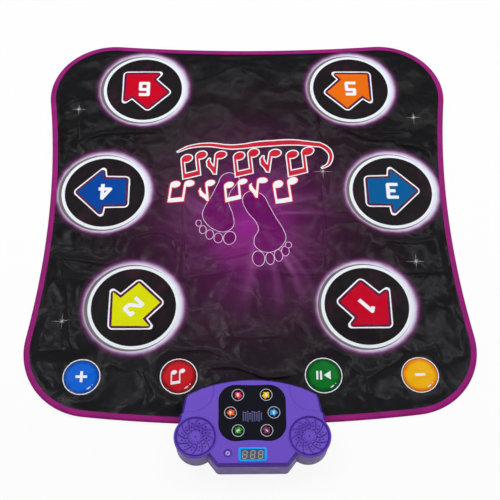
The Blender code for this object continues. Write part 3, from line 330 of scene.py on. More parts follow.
def finished(made, base, heights, roughness=None):  # heights: socket, strength, distance
    tree = made.node_tree
    normal = None
    for height, strength, distance in heights:
        inputs = {"Height": height, "Strength": strength, "Distance": distance}
        normal = part(tree, "Bump", {**inputs, "Normal": normal} if normal else inputs).outputs[0]
    for key, socket in {"Base Color": base, "Roughness": roughness, "Normal": normal}.items():
        if socket:
            tree.links.new(socket, tree.nodes["Principled BSDF"].inputs[key])
    return made


# moulded and metal finishes

def plastic(name, colour, roughness=0.42, grain=1900.0, depth=0.00003, shade=0.06, specular=0.45):
    made, tree, place = newMaterial(name, roughness, specular=specular)
    patches = spread(tree, noise(tree, place, 18.0, 3.0), 0.35, 0.65)
    base = mixed(tree, patches, shaded(colour, 1 - shade), shaded(colour, 1 + shade))
    rough = mottled(tree, place, 60.0, roughness - 0.05, roughness + 0.05)
    return finished(made, base, [(noise(tree, place, grain, 1.0), 0.35, depth)], rough)


def ink(name, colour, roughness=0.4):
    return plastic(name, colour, roughness, 2600.0, 0.00001, 0.03, 0.2)


def metal(name, colour, roughness=0.32):  # brushed along x and z
    made, tree, place = newMaterial(name, roughness, 1.0)
    drawn = part(tree, "Mapping", {"Vector": place, "Scale": (1.0, 40.0, 1.0)}).outputs[0]
    lines = noise(tree, drawn, 160.0, 4.0)
    rough = spread(tree, lines, 0.3, 0.7, roughness - 0.08, roughness + 0.1)
    return finished(made, mixed(tree, lines, shaded(colour, 0.82), colour), [(lines, 0.2, 0.00004)], rough)


def clearResin(name):
    made, tree, place = newMaterial(name, 0.12)
    inputs = tree.nodes["Principled BSDF"].inputs
    for key, value in {"Base Color": tone(226, 222, 244), "Transmission Weight": 0.55, "IOR": 1.5}.items():
        inputs[key].default_value = value
    return finished(made, None, [(noise(tree, place, 500.0), 0.1, 0.00004)])


def paper(name, colour):
    made, tree, place = newMaterial(name, 0.85, specular=0.2)
    fibres = noise(tree, place, 900.0, 5.0, 0.7)
    return finished(made, mixed(tree, fibres, shaded(colour, 0.6), colour), [(fibres, 0.6, 0.0001)])


def boardGreen(name):
    made, tree, place = newMaterial(name, 0.35)
    colours = {"Color1": tone(18, 92, 48), "Color2": tone(14, 80, 42), "Mortar": tone(44, 132, 72)}
    tracks = part(tree, "TexBrick", {"Vector": place, "Scale": 90.0, "Mortar Size": 0.06, **colours}).outputs
    return finished(made, tracks["Color"], [(tracks["Fac"], 0.4, 0.00004)])


def foam(name, *colour):
    made, tree, place = newMaterial(name, 0.95, specular=0.1)
    cells = part(tree, "TexVoronoi", {"Vector": place, "Scale": 900.0}).outputs["Distance"]
    base = mixed(tree, spread(tree, cells, 0.0, 0.6), tone(*colour), shaded(tone(*colour), 0.7))
    return finished(made, base, [(cells, 0.5, 0.0002)])


def paintedShadeCasing(name):  # violet moulding with painted shade: darker on its slopes and dished rims, and painted greyer on its walls in place of light thrown up from the pale floor
    made, tree, place = newMaterial(name, 0.48, specular=0.25)
    # painted shade: the colour follows how far each face turns up, darkest on chamfers, rims and blade risers
    facing = axis(tree, part(tree, "NewGeometry").outputs["Normal"], "Z")
    stops = [(0.0, tone(114, 92, 158)), (0.2, tone(98, 70, 156)), (0.447, tone(74, 36, 164)),
             (0.80, tone(74, 40, 158)), (0.965, tone(80, 46, 168)), (0.99, tone(105, 71, 197))]
    base = ramp(tree, facing, stops)["Color"]
    base = mixed(tree, mottled(tree, place, 18.0, 0.0, 0.12), base, tone(84, 56, 160))
    rough = mottled(tree, place, 60.0, 0.42, 0.54)
    return finished(made, base, [(noise(tree, place, 1900.0, 1.0), 0.35, 0.00003)], rough)


consolePlastic = paintedShadeCasing("consolePlastic")
finishes = {
    "console_plastic": consolePlastic,
    "panel_film": plastic("panelFilm", tone(6, 6, 20), 0.5, 2600.0, 0.00002, 0.04, 0.06),
    "bezel_cyan": plastic("bezelBlue", tone(0, 156, 246), 0.4, specular=0.2),
    "display_smoke": plastic("displaySmoke", tone(64, 67, 76), 0.3, 900.0, 0.00001),
    "clear_resin": clearResin("clearResin"),
    "plate_steel": metal("plateSteel", tone(196, 198, 202)),
    "screw_steel": metal("screwSteel", tone(176, 176, 182), 0.28),
    "speaker_steel": metal("speakerSteel", tone(40, 40, 44), 0.55),
    "speaker_paper": paper("speakerPaper", tone(52, 50, 50)),
    "board_green": boardGreen("boardGreen"),
    "ribbon": plastic("ribbonFilm", tone(206, 198, 182), 0.4),
    "foot_rubber": plastic("footRubber", tone(34, 34, 36), 0.8, 1200.0, 0.00006),
    "switch_black": plastic("switchBlack", tone(30, 30, 33), 0.45),
    "battery_jacket": plastic("batteryJacket", tone(38, 62, 48), 0.3),
    "base_rubber": foam("baseRubber", 62, 62, 66),
    "circuit_film": plastic("circuitFilm", tone(196, 190, 166), 0.3),
    "spacer_foam": foam("spacerFoam", 196, 196, 198),
    "cover_cloth": foam("coverUnderlay", 36, 33, 38),
    "edge_tape": foam("tapeUnderlay", 150, 28, 118),
    "pad_cloth": foam("padUnderlay", 36, 33, 38),
    "pad_blue": foam("blueUnderlay", 0, 95, 210),
    "pad_red": foam("redUnderlay", 196, 22, 32),
    "pad_green": foam("greenUnderlay", 0, 112, 34),
    "pad_yellow": foam("yellowUnderlay", 238, 176, 6),
}
for row in frame["record"]["subparts"]:
    slots = nodes[row["node"]].data.materials
    slots.clear()
    slots.append(finishes[row["material_slot"]])
nodes["status_lamp"].data.materials[0] = plastic("lampEye", tone(70, 54, 112), 0.15, 2600.0, 0.00001)
print("finishes set on", len(nodes), "CAD nodes")


# the mat's outline, its pads and the folds of its cloth

mat = {"halfWidth": 0.397, "rearY": 0.3545, "frontY": -0.445, "cornerRadius": 0.125, "rearDip": 0.011,
       "sideDip": 0.0205, "frontBulge": 0.0148, "topZ": 0.0048, "clothThickness": 0.0006,
       "coverInset": 0.0018, "tapeInset": 0.013, "cornerSteps": 26, "edgeSteps": 52}


def arc(centre, reach, start, end, steps):
    first = math.atan2(*(start - centre)[::-1])
    sweep = (math.atan2(*(end - centre)[::-1]) - first + math.pi) % (2 * math.pi) - math.pi
    angles = first + sweep * np.arange(steps) / steps
    return [centre + reach * np.array([math.cos(a), math.sin(a)]) for a in angles]


def matOutline(inset):
    radius, x = mat["cornerRadius"], mat["halfWidth"] - mat["cornerRadius"]
    low, high = mat["frontY"] + radius, mat["rearY"] - radius
    corners = [np.array(p) for p in ((x, low), (x, high), (-x, high), (-x, low))]
    edges = []  # middle and radius of the bow along each side
    for i, dip in enumerate((mat["sideDip"], mat["rearDip"], mat["sideDip"], -mat["frontBulge"])):
        one, two = corners[i], corners[(i + 1) % 4]
        half = np.linalg.norm(two - one) / 2
        outward = np.array([two[1] - one[1], one[0] - two[0]]) / (2 * half)
        reach = radius - dip
        bend = (half ** 2 + reach ** 2 - radius ** 2) / (2 * dip)
        edges.append(((one + two) / 2 + outward * (reach + bend), bend))

    def touch(corner, edge):
        away = unit(edge[0] - corner) * (1 if edge[1] > 0 else -1)
        return corner + away * (radius - inset)

    points = []
    for i, corner in enumerate(corners):
        (centre, bend), following = edges[i], corners[(i + 1) % 4]
        enter, leave = touch(corner, edges[i - 1]), touch(corner, edges[i])
        points += arc(corner, radius - inset, enter, leave, mat["cornerSteps"])
        points += arc(centre, abs(bend + inset), leave, touch(following, edges[i]), mat["edgeSteps"])
    return np.array(points)


stepRadius, functionRadius = 0.0822, 0.0325
stepRows = [  # the arrow's shift on its disc in millimetres, its way, the digit's way up, the arrow's colour
    (7.0, (1, -1), (1, -1), tone(202, 2, 40)),
    (7.0, (-1, -1), (-1, -1), tone(226, 230, 4)),
    (0.5, (1, 0), (0, -1), tone(0, 94, 156)),
    (6.5, (-1, 0), (0, -1), tone(0, 70, 160)),
    (6.0, (1, 1), (0, -1), tone(238, 112, 12)),
    (7.0, (-1, 1), (0, -1), tone(203, 0, 36)),
]
stepPads = {"step_pad_%d" % digit: {"body": "pad_%d" % digit, "joint": "press_%d" % digit, "digit": digit,
                                    "shift": shift, "way": way, "up": up, "fill": fill}
            for digit, (shift, way, up, fill) in enumerate(stepRows, 1)}
functionRows = [  # body, sign, slot, colour in the middle and at the rim
    ("volume_up", "plus", "pad_blue", tone(0, 98, 214), tone(0, 66, 156)),
    ("pairing", "note", "pad_red", tone(200, 24, 34), tone(120, 4, 14)),
    ("mode", "play", "pad_green", tone(0, 112, 34), tone(0, 62, 22)),
    ("volume_down", "minus", "pad_yellow", tone(242, 180, 8), tone(222, 112, 0)),
]
functionPads = {body + "_pad": {"body": body, "joint": "press_" + body, "sign": sign, "slot": slot,
                                "fill": fill, "rim": rim}
                for body, sign, slot, fill, rim in functionRows}


def middle(node):
    low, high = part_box(node)
    return np.array([(low.x + high.x) / 2, (low.y + high.y) / 2])


def padLoop(spot, radius, spare=0.0):
    return ellipse(*spot, radius + spare, count=96 if radius > 0.05 else 56)


padSpots = [(middle(name), stepRadius) for name in stepPads]
padSpots += [(middle(name), functionRadius) for name in functionPads]
consoleEdge = [(-0.1265, -0.462), (-0.1145, -0.420), (-0.088, -0.4045), (-0.045, -0.3965), (0, -0.394),
               (0.045, -0.3965), (0.088, -0.4045), (0.1145, -0.420), (0.1265, -0.462)]
folds = {
    "step": 0.0025, "spacing": 0.0075, "frames": 25, "spare": 0.009, "bending": 0.6, "rest": 0.0020,
    "waves": 60, "waveHeight": 0.0018, "creaseHeight": 0.0030, "creaseWidth": 0.008,
    "creaseStep": 0.0017, "stepWidth": 0.0016, "stepFoot": 0.0045, "stepReach": 0.013,
    "lowest": -0.0003,
    "facets": [(0.040, 0.0024, 1.9), (0.020, 0.0012, 1.5)],  # spacing, height and stretch along x
    # creases seen in the cloth: line in millimetres and share of the full height
    "creases": [
        ([(-354, -142), (-337, -182), (-330, -217), (-325, -260), (-317, -311), (-300, -344)], 1.0),
        ([(-354, -142), (-308, -151), (-256, -158), (-225, -143)], 0.8),
        ([(-370, -327), (-346, -329), (-322, -327)], 0.6),
        ([(-249, -346), (-230, -360), (-209, -366)], 1.0),
        ([(-191, -359), (-175, -391), (-162, -415)], 0.8),
        ([(-220, -109), (-173, -94), (-127, -113)], 0.8),
        ([(-160, -194), (-138, -222)], 0.6),
        ([(-150, -331), (-111, -329), (-78, -328), (-42, -344)], 0.9),
        ([(-81, -363), (-24, -363), (29, -380), (77, -374)], 1.2),
        ([(-42, -302), (0, -307), (49, -300)], 0.7),
        ([(-92, -145), (-54, -152), (-16, -145), (9, -131)], 0.5),
        ([(-57, -145), (-43, -167)], 0.5),
        ([(74, -270), (95, -296), (108, -336)], 0.9),
        ([(101, -146), (135, -157)], 0.6),
        ([(130, -320), (151, -333), (174, -342)], 0.9),
        ([(264, -347), (230, -366), (199, -383)], 1.0),
        ([(172, -358), (184, -372), (198, -383)], 1.0),
        ([(169, -412), (183, -421), (192, -427)], 0.8),
        ([(197, -408), (214, -418), (228, -422)], 0.8),
        ([(281, -335), (307, -332), (332, -318)], 0.7),
        ([(327, -333), (326, -352)], 0.5),
        ([(345, -110), (300, -118), (250, -112)], 0.6),
        ([(-327, 190), (-334, 148), (-333, 107)], 0.9),
        ([(-329, 107), (-290, 127), (-216, 133), (-174, 137)], 0.9),
        ([(-375, 183), (-341, 185)], 0.5),
        ([(-376, 145), (-342, 147)], 0.5),
        ([(-374, 124), (-341, 126)], 0.5),
        ([(-287, 326), (-253, 315)], 0.7),
        ([(185, 143), (238, 117), (285, 115), (294, 105), (358, 88)], 1.0),
        ([(216, 129), (292, 134), (320, 136)], 0.8),
        ([(352, 134), (352, 113)], 0.5),
        ([(97, 164), (115, 142)], 0.6),
        ([(-126, 300), (-126, 100), (-125, -60), (-124, -230)], 0.28),
        ([(139, 300), (138, 100), (138, -60), (135, -230)], 0.28),
        ([(-380, -186), (-200, -192), (-76, -184), (-29, -176), (2, -174), (120, -180), (380, -176)], 0.32),
    ],
}
xs, ys = np.arange(-0.410, 0.4101, folds["step"]), np.arange(-0.475, 0.3701, folds["step"])
gridX, gridY = np.meshgrid(xs, ys)
gridPoints = np.column_stack([gridX.ravel(), gridY.ravel()])


def scattered(low, high, spacing, jitter, seed):  # uneven rows of points between two corners
    rows, columns = np.arange(low[1], high[1], spacing * 0.866), np.arange(low[0], high[0], spacing)
    cells = np.array([(x + (k % 2) * spacing / 2, y) for k, y in enumerate(rows) for x in columns])
    return cells + np.random.default_rng(seed).uniform(-jitter, jitter, cells.shape) * spacing


def net(points, edges=(), kind=0):  # triangles between the points
    points = [Vector(p) for p in points]
    found, _, triangles, _, _, _ = delaunay_2d_cdt(points, list(edges), [], kind, 1e-7, False)
    return np.array([tuple(p) for p in found]), np.array(triangles)


def gridded(points, heights, triangles):  # a net of triangles read off on the even grid
    field = np.zeros_like(gridX)
    step = folds["step"]
    for a, b, c in triangles:
        pa, pb, pc = points[a], points[b], points[c]
        low, high = np.minimum(np.minimum(pa, pb), pc), np.maximum(np.maximum(pa, pb), pc)
        i0, i1 = max(0, int((low[0] - xs[0]) / step)), min(len(xs), int((high[0] - xs[0]) / step) + 2)
        j0, j1 = max(0, int((low[1] - ys[0]) / step)), min(len(ys), int((high[1] - ys[0]) / step) + 2)
        whole = (pb[1] - pc[1]) * (pa[0] - pc[0]) + (pc[0] - pb[0]) * (pa[1] - pc[1])
        if i0 >= i1 or j0 >= j1 or abs(whole) < 1e-12:
            continue
        gx, gy = gridX[j0:j1, i0:i1], gridY[j0:j1, i0:i1]
        u = ((pb[1] - pc[1]) * (gx - pc[0]) + (pc[0] - pb[0]) * (gy - pc[1])) / whole
        v = ((pc[1] - pa[1]) * (gx - pc[0]) + (pa[0] - pc[0]) * (gy - pc[1])) / whole
        inside = (u >= -1e-6) & (v >= -1e-6) & (u + v <= 1 + 1e-6)
        field[j0:j1, i0:i1][inside] = (u * heights[a] + v * heights[b] + (1 - u - v) * heights[c])[inside]
    return field


def facetField(spacing, stretch, seed):  # flat facets with sharp creases between them
    dice = np.random.default_rng(seed)
    columns = np.arange(xs[0] - 0.1, xs[-1] + 0.1, spacing * stretch)
    rows = np.arange(ys[0] - 0.1, ys[-1] + 0.1, spacing)
    spots = np.array([(x, y) for y in rows for x in columns])
    spots += dice.uniform(-0.45, 0.45, spots.shape) * (spacing * stretch, spacing)
    heights = dice.uniform(-1, 1, len(spots))
    return gridded(spots, heights, net(spots)[1])


def blurred(field):
    field = (np.roll(field, 1, 0) + 2 * field + np.roll(field, -1, 0)) / 4
    return (np.roll(field, 1, 1) + 2 * field + np.roll(field, -1, 1)) / 4


def buckled():  # the cover is cut a little too large, and buckles between the places that hold it
    spacing = folds["spacing"]
    edge = closer(matOutline(0.010), spacing)
    cells = scattered((-0.4, edge[:, 1].min()), (0.4, edge[:, 1].max()), spacing, 0.2, 5)
    cells = cells[within(cells, matOutline(mat["tapeInset"]))]
    border = [(i, (i + 1) % len(edge)) for i in range(len(edge))]
    spots, triangles = net(np.concatenate([edge, cells]), border, 1)
    fixed = ~within(spots, matOutline(0.0125)) | within(spots, consoleEdge)
    for spot, radius in padSpots:
        fixed |= np.hypot(*(spots - spot).T) < radius + 0.001
    dice, start = np.random.default_rng(8), np.zeros(len(spots))
    for _ in range(folds["waves"]):
        turn, length = dice.uniform(0, math.pi), dice.uniform(0.045, 0.16)
        phase = dice.uniform(0, 2 * math.pi)
        if dice.uniform() < 0.55:  # most folds lie across the mat
            turn = math.pi / 2 + dice.uniform(-0.5, 0.5)
        along = spots @ np.array([math.cos(turn), math.sin(turn)])
        start += np.sin(along * 2 * math.pi / length + phase) * length
    start *= folds["waveHeight"] / np.abs(start).max()
    for line, share in folds["creases"]:
        away = measured(spots, np.array(line) / 1000)[0]
        start += share * folds["creaseHeight"] * np.exp(-(away / folds["creaseWidth"]) ** 1.5)
    start[fixed] = 0
    trial = newObject("coverTrial", np.column_stack([spots, start]).tolist(), triangles.tolist())
    trial.vertex_groups.new(name="held").add([int(i) for i in np.flatnonzero(fixed)], 1.0, "REPLACE")
    modifier = trial.modifiers.new("cloth", "CLOTH")
    settings = modifier.settings
    for key, value in {"quality": 5, "mass": 0.1, "tension_stiffness": 15, "compression_stiffness": 15,
                       "shear_stiffness": 8, "bending_stiffness": folds["bending"], "bending_damping": 0.5,
                       "air_damping": 2, "vertex_group_mass": "held", "shrink_min": -folds["spare"]}.items():
        setattr(settings, key, value)
    settings.effector_weights.gravity = 0.0
    modifier.collision_settings.use_collision = False
    modifier.point_cache.frame_end = folds["frames"] + 1
    for moment in range(1, folds["frames"] + 1):
        scene.frame_set(moment)
    alone(trial)
    bpy.ops.object.modifier_apply(modifier="cloth")
    settled = np.zeros(len(trial.data.vertices) * 3)
    trial.data.vertices.foreach_get("co", settled)
    heights = np.clip(settled.reshape(-1, 3)[:, 2], -0.006, 0.007)
    bpy.data.objects.remove(trial)
    scene.frame_set(1)
    return gridded(spots, heights, triangles)


rise = blurred(buckled()) * 1.25
for index, (spacing, height, stretch) in enumerate(folds["facets"]):
    rise += blurred(facetField(spacing, stretch, 40 + index)) * height
rise = np.where(rise > 0, rise, rise * 0.6)
rise = rise * (1 - 0.45 * eased(gridY, 0.02, 0.24)) + folds["rest"]  # lower towards the rear
held = eased(measured(gridPoints, matOutline(0), True)[0], 0.011, 0.030)
held *= within(gridPoints, matOutline(0.011))
for spot, radius in padSpots:
    held *= eased(np.hypot(*(gridPoints - spot).T) - radius, 0.0, 0.016)
beside = eased(measured(gridPoints, consoleEdge)[0], 0.0, 0.010)
held *= np.where(within(gridPoints, consoleEdge), 0, beside)
held = held.reshape(gridX.shape)  # 0 where the cloth is held down, 1 where it is free
rise = np.maximum(rise, folds["lowest"]) * held
creaseLines = []
for line, share in folds["creases"]:
    line = np.array(line)
    if abs(line[-1, 0] - line[0, 0]) > 20:  # the wide ones run from left to right
        line = line[np.argsort(line[:, 0])]
    creaseLines.append((smooth(line / 1000, 5, False), share))
creaseGuides = []
for line, _ in creaseLines:
    side = left(unit(np.gradient(line, axis=0)))
    for offset in (-folds["stepFoot"], -folds["stepWidth"], 0, folds["stepWidth"], folds["stepFoot"]):
        creaseGuides.append(line + side * offset)


def creaseStep(points):  # a low sharp step along each crease, its steep side towards the console
    lifted = np.zeros(len(points))
    for line, share in creaseLines:
        near = np.flatnonzero(((points > line.min(0) - 0.05) & (points < line.max(0) + 0.05)).all(1))
        away, side, walked, whole = measured(points[near], line)
        fade = eased(np.minimum(walked, whole - walked), -0.002, 0.022)
        steep = np.clip(side * away / folds["stepWidth"], -1, 1)
        lifted[near] += share * folds["creaseStep"] * steep * np.exp(-away / folds["stepReach"]) * fade
    return lifted


def gridValue(field, points):
    u, v = (points[:, 0] - xs[0]) / folds["step"], (points[:, 1] - ys[0]) / folds["step"]
    i, j = np.clip(u.astype(int), 0, len(xs) - 2), np.clip(v.astype(int), 0, len(ys) - 2)
    u, v = u - i, v - j
    low = field[j, i] * (1 - u) + field[j, i + 1] * u
    high = field[j + 1, i] * (1 - u) + field[j + 1, i + 1] * u
    return low * (1 - v) + high * v


def clothHeight(points):
    lift = gridValue(rise, points) + creaseStep(points) * gridValue(held, points)
    return mat["topZ"] + np.maximum(lift, folds["lowest"])


print("folds of the cloth set, up to %.1f mm high" % (rise.max() * 1000))


def printedSheet(name, outline, holes, inks, spacing, heightAt, materials, thickness, lined=True, guides=()):
    # one sheet whose inks are its own faces; inks: (index of the material, shapes), later ones on top
    shapes = [shape for _, drawn in inks for shape in drawn]
    loops = [closer(loop, spacing) for loop in [outline, *holes, *shapes]]
    edge, gaps = loops[0], loops[1:1 + len(holes)]
    guides = [line[within(line, matOutline(mat["tapeInset"]))] for line in guides]
    guides = [line for line in guides if len(line) > 2]
    border = np.concatenate(loops + guides)
    cells = scattered(edge.min(0), edge.max(0), spacing, 0.18, 3)
    cells = cells[within(cells, edge)]
    for gap in gaps:
        cells = cells[~within(cells, gap)]
    tree = KDTree(len(border))
    for i, p in enumerate(border):
        tree.insert((*p, 0), i)
    tree.balance()
    free = np.array([tree.find((x, y, 0))[2] > spacing * 0.5 for x, y in cells], bool)
    sides, start = [], 0
    for k, line in enumerate(loops + guides):  # the guides stay open
        count = len(line)
        sides += [(start + i, start + (i + 1) % count) for i in range(count if k < len(loops) else count - 1)]
        start += count
    found, triangles = net(np.concatenate([border, cells[free]]), sides)
    centres = found[triangles].mean(1)
    kept = within(centres, edge)
    for gap in gaps:
        kept &= ~within(centres, gap)
    triangles, centres = triangles[kept], centres[kept]
    slot = np.zeros(len(triangles), int)
    for index, drawn in inks:
        for shape in drawn:
            slot[within(centres, shape)] = index
    used, triangles = np.unique(triangles, return_inverse=True)
    triangles, found = triangles.reshape(-1, 3), found[used]
    a, b, c = found[triangles].transpose(1, 0, 2)
    turned = (b[:, 0] - a[:, 0]) * (c[:, 1] - a[:, 1]) - (b[:, 1] - a[:, 1]) * (c[:, 0] - a[:, 0]) < 0
    triangles[turned] = triangles[turned][:, ::-1]
    made = newObject(name, np.column_stack([found, heightAt(found)]).tolist(), triangles.tolist(), materials)
    made.data.polygons.foreach_set("material_index", slot)
    made.data.update()
    applied(made, "SOLIDIFY", thickness=thickness, offset=-1.0, use_rim=True,
            material_offset=len(materials) if lined else 0, material_offset_rim=0)
    smoothed(made, 50)
    print(name, "has", len(made.data.polygons), "faces")
    return made


# satin and its prints

cloth = {"roughness": 0.25, "specular": 0.058, "creaseScale": 15.0, "crumple": 13.0, "creaseDepth": 0.0015,
         "weaveScale": 700.0, "weaveDepth": 0.00003}


def satin(name, colour, pattern=None, roughness=cloth["roughness"], specular=cloth["specular"]):
    made, tree, place = newMaterial(name, roughness, specular=specular)
    if pattern:
        base = pattern(tree, place)
    else:
        base = mixed(tree, noise(tree, place, 25.0, 3.0), shaded(colour, 0.9), colour)
    bent = vectors(tree, "MULTIPLY", noise(tree, place, 9.0, 3.0, output="Color"), (0.09, 0.09, 0.0))
    bent = vectors(tree, "ADD", place, bent)
    inputs = {"Vector": bent, "Scale": cloth["creaseScale"]}
    plates = part(tree, "TexVoronoi", inputs, feature="DISTANCE_TO_EDGE").outputs["Distance"]
    ridges = spread(tree, plates, 0.0, 0.16, 1.0, 0.0, "LINEAR")
    for size, share in ((cloth["crumple"], 1.0), (cloth["crumple"] * 2.3, 0.35)):  # sharp small creases
        fold = sums(tree, "SUBTRACT", noise(tree, bent, size, 1.0, 0.5, 0.3), 0.5)
        ridges = sums(tree, "MULTIPLY_ADD", sums(tree, "ABSOLUTE", fold), share * 2, ridges)
    calm = spread(tree, axis(tree, place, "Y"), -0.02, 0.24, 1.0, 0.45)
    ridges = sums(tree, "MULTIPLY", ridges, calm)  # smoother towards the rear
    inputs = {"Vector": place, "Scale": cloth["weaveScale"], "Distortion": 0.4}
    threads = part(tree, "TexWave", inputs, bands_direction="DIAGONAL").outputs["Fac"]
    rough = mottled(tree, place, 90.0, roughness - 0.06, roughness + 0.08)
    heights = [(ridges, 0.55, cloth["creaseDepth"]), (threads, 0.25, cloth["weaveDepth"])]
    return finished(made, base, heights, rough)


glow = {
    "centre": (0.002, -0.068), "twist": 1.8, "crescentShift": (-0.0031, -0.0007), "crescent": 0.0850,
    "paintedFrontLight": tone(17, 17, 19), "ray": tone(190, 98, 182), "grey": tone(114, 109, 107),
    "purples": [(0.0, tone(148, 34, 140)), (0.14, tone(126, 28, 116)), (0.32, tone(78, 18, 69)),
                (0.52, tone(52, 15, 44)), (0.74, tone(27, 12, 23)), (1.0, tone(10, 9, 12))],
    "halo": [(0.0, (238, 242, 252), 1.0), (0.20, (226, 224, 242), 1.0), (0.36, (196, 172, 208), 0.95),
             (0.50, (150, 96, 150), 0.75), (0.66, (98, 42, 90), 0.42), (1.0, (50, 20, 44), 0.0)],
}


def glowPrintWithFrontLight(tree, place):  # purple glow with turning rays, a bright ring round each step pad, and painted light that lifts the cloth towards the front
    flat = vectors(tree, "MULTIPLY", place, (1, 1, 0))
    out = vectors(tree, "SUBTRACT", flat, (*glow["centre"], 0))
    reach = vectors(tree, "LENGTH", vectors(tree, "MULTIPLY", out, (1.0, 0.92, 1.0)))
    uneven = sums(tree, "MULTIPLY_ADD", noise(tree, flat, 7.0, 3.0), 0.10, reach)
    base = ramp(tree, spread(tree, uneven, 0.05, 0.38, kind="LINEAR"), glow["purples"])["Color"]
    inputs = {"Vector": out, "Angle": sums(tree, "MULTIPLY", reach, glow["twist"])}
    turned = part(tree, "VectorRotate", inputs, rotation_type="Z_AXIS").outputs[0]
    rays = spread(tree, noise(tree, vectors(tree, "NORMALIZE", turned), 2.2, 2.5, 0.62), 0.46, 0.70)
    aside = spread(tree, axis(tree, out, "X"), -0.03, 0.06, 0.35, 1.0)
    fade = sums(tree, "MULTIPLY", spread(tree, reach, 0.02, 0.06), spread(tree, reach, 0.07, 0.21, 1.0, 0.0))
    for factor in (fade, aside, 0.62):
        rays = sums(tree, "MULTIPLY", rays, factor)
    base = mixed(tree, rays, base, glow["ray"])

    def nearestPad(shift):  # distance to the nearest step pad
        nearest = None
        for name in stepPads:
            away = vectors(tree, "DISTANCE", flat, (*(middle(name) + shift), 0))
            nearest = sums(tree, "MINIMUM", nearest, away) if nearest else away
        return nearest

    away = sums(tree, "SUBTRACT", nearestPad((0, 0)), 0.0015)
    streaky = sums(tree, "MULTIPLY_ADD", noise(tree, flat, 60.0, 2.0), 0.003, away)
    stops = [(at, (*tone(*colour)[:3], alpha)) for at, colour, alpha in glow["halo"]]
    halo = ramp(tree, spread(tree, streaky, 0.0805, 0.1030, kind="LINEAR"), stops)
    base = mixed(tree, halo["Alpha"], base, halo["Color"])
    # painted light: a grey tone added to the cloth, strongest at the front, stands in for light falling there
    frontLightShare = spread(tree, axis(tree, place, "Y"), -0.42, 0.10, 1.0, 0.0)
    base = mixed(tree, frontLightShare, base, glow["paintedFrontLight"], "ADD")
    size = glow["crescent"]
    crescent = spread(tree, nearestPad(glow["crescentShift"]), size - 0.0005, size + 0.0005, 1.0, 0.0)
    return mixed(tree, crescent, base, glow["grey"])


def smokePrint(tree, place):  # black disc with a little purple smoke in it
    smoke = spread(tree, noise(tree, place, 16.0, 4.0, 0.6, 0.5), 0.50, 0.78)
    return mixed(tree, sums(tree, "MULTIPLY", smoke, 0.6), tone(17, 11, 15), tone(64, 24, 46))


coverSatin = satin("coverSatin", None, glowPrintWithFrontLight)
discSatin = satin("discSatin", None, smokePrint, 0.40, 0.05)
whiteInk = satin("whiteInk", tone(248, 248, 255))
ringInk = satin("ringInk", tone(242, 247, 255))
redInk = satin("redInk", tone(206, 24, 52))
soleInk = satin("soleInk", tone(108, 10, 98))
lineInk = satin("lineInk", tone(232, 206, 232))
glintInk = satin("glintInk", tone(206, 200, 206))
gapInk = satin("gapInk", tone(84, 18, 62))
blackInk = satin("blackInk", tone(13, 12, 14))
clothBack = satin("clothBack", tone(48, 46, 50), roughness=0.7)


# what is printed on the cover

def noteShapes(kind):  # musical notes, drawn upright in millimetres
    head, stem = ellipse(0, 0, 8.6, 6.2, 22), box(5.0, 2.0, 8.4, 35.0)
    if kind == "single":
        flag = [(5.2, 35), (5.2, 25), (12, 20), (16.5, 12), (16.0, 5),
                (20.5, 13), (19.0, 22), (13, 28), (8.4, 35)]
        return [head, stem, rounded(flag, 2.5, 3)]
    second = np.array([23.0, 4.0])
    beam = np.array([(5.0, 28.0), (31.4, 32.5), (31.4, 40.5), (5.0, 36.0)])
    return [head, stem, head + second, stem + second, beam]


def starShape(wide, tall):  # four long thin rays and four short ones
    turns = np.arange(16) * math.pi / 8
    short = tall * 0.42
    reach = [wide if k % 8 == 0 else tall if k % 8 == 4 else short if k % 4 == 2 else 1.1 for k in range(16)]
    return np.column_stack([np.cos(turns) * reach, np.sin(turns) * reach])


rowOne = {"border": 2.3, "notes": [  # kind, place in millimetres, scale and tilt
    ("pair", -92, 84, 1.25, 6), ("single", -54, 84, 1.25, -4), ("pair", 10, 88, 1.25, 5),
    ("single", 52, 88, 1.3, -8), ("pair", 116, 92, 1.35, 4)]}
rowTwo = {"border": 2.0, "notes": [
    ("pair", -114, 19, 1.15, -6), ("single", -74, 19, 1.15, 5), ("pair", -12, 21, 1.15, 4),
    ("single", 26, 23, 1.2, -5), ("pair", 84, 24, 1.25, 6)]}
ribbonLine = smooth([(-138, 92), (-112, 104), (-76, 108), (-30, 102), (14, 106), (60, 112), (104, 112),
                     (144, 104), (160, 84), (156, 62), (142, 50)], 8, False)
soles = [  # the outline of each, and its toes: place, half width and half length
    ([(-36, 43), (-52, 36), (-60, 16), (-70, -10), (-84, -34), (-88, -54), (-77, -74), (-57, -87), (-39, -86),
      (-29, -73), (-31, -52), (-39, -28), (-36, -4), (-24, 16), (-19, 33)],
     [(-37, -103, 12.0, 15.4), (-58, -102, 8.4, 11.8), (-74, -94, 7.8, 11.0), (-87, -83, 7.0, 9.4),
      (-95, -69, 5.8, 7.4)]),
    ([(6, -4), (-9, -12), (-12, -28), (-2, -48), (12, -66), (17, -84), (9, -104), (10, -122), (24, -134),
      (44, -131), (60, -118), (68, -101), (62, -80), (49, -58), (38, -36), (27, -14)],
     [(16, -149, 12.0, 16.8), (37, -147, 8.6, 13.6), (53, -139, 8.4, 13.4), (66, -129, 7.6, 11.2),
      (72, -116, 6.4, 6.8)]),
]
glints = [(-337, 191, 10), (331, 172, 11), (143, 42, 14), (-334, -269, 13), (305, -154, 13)]

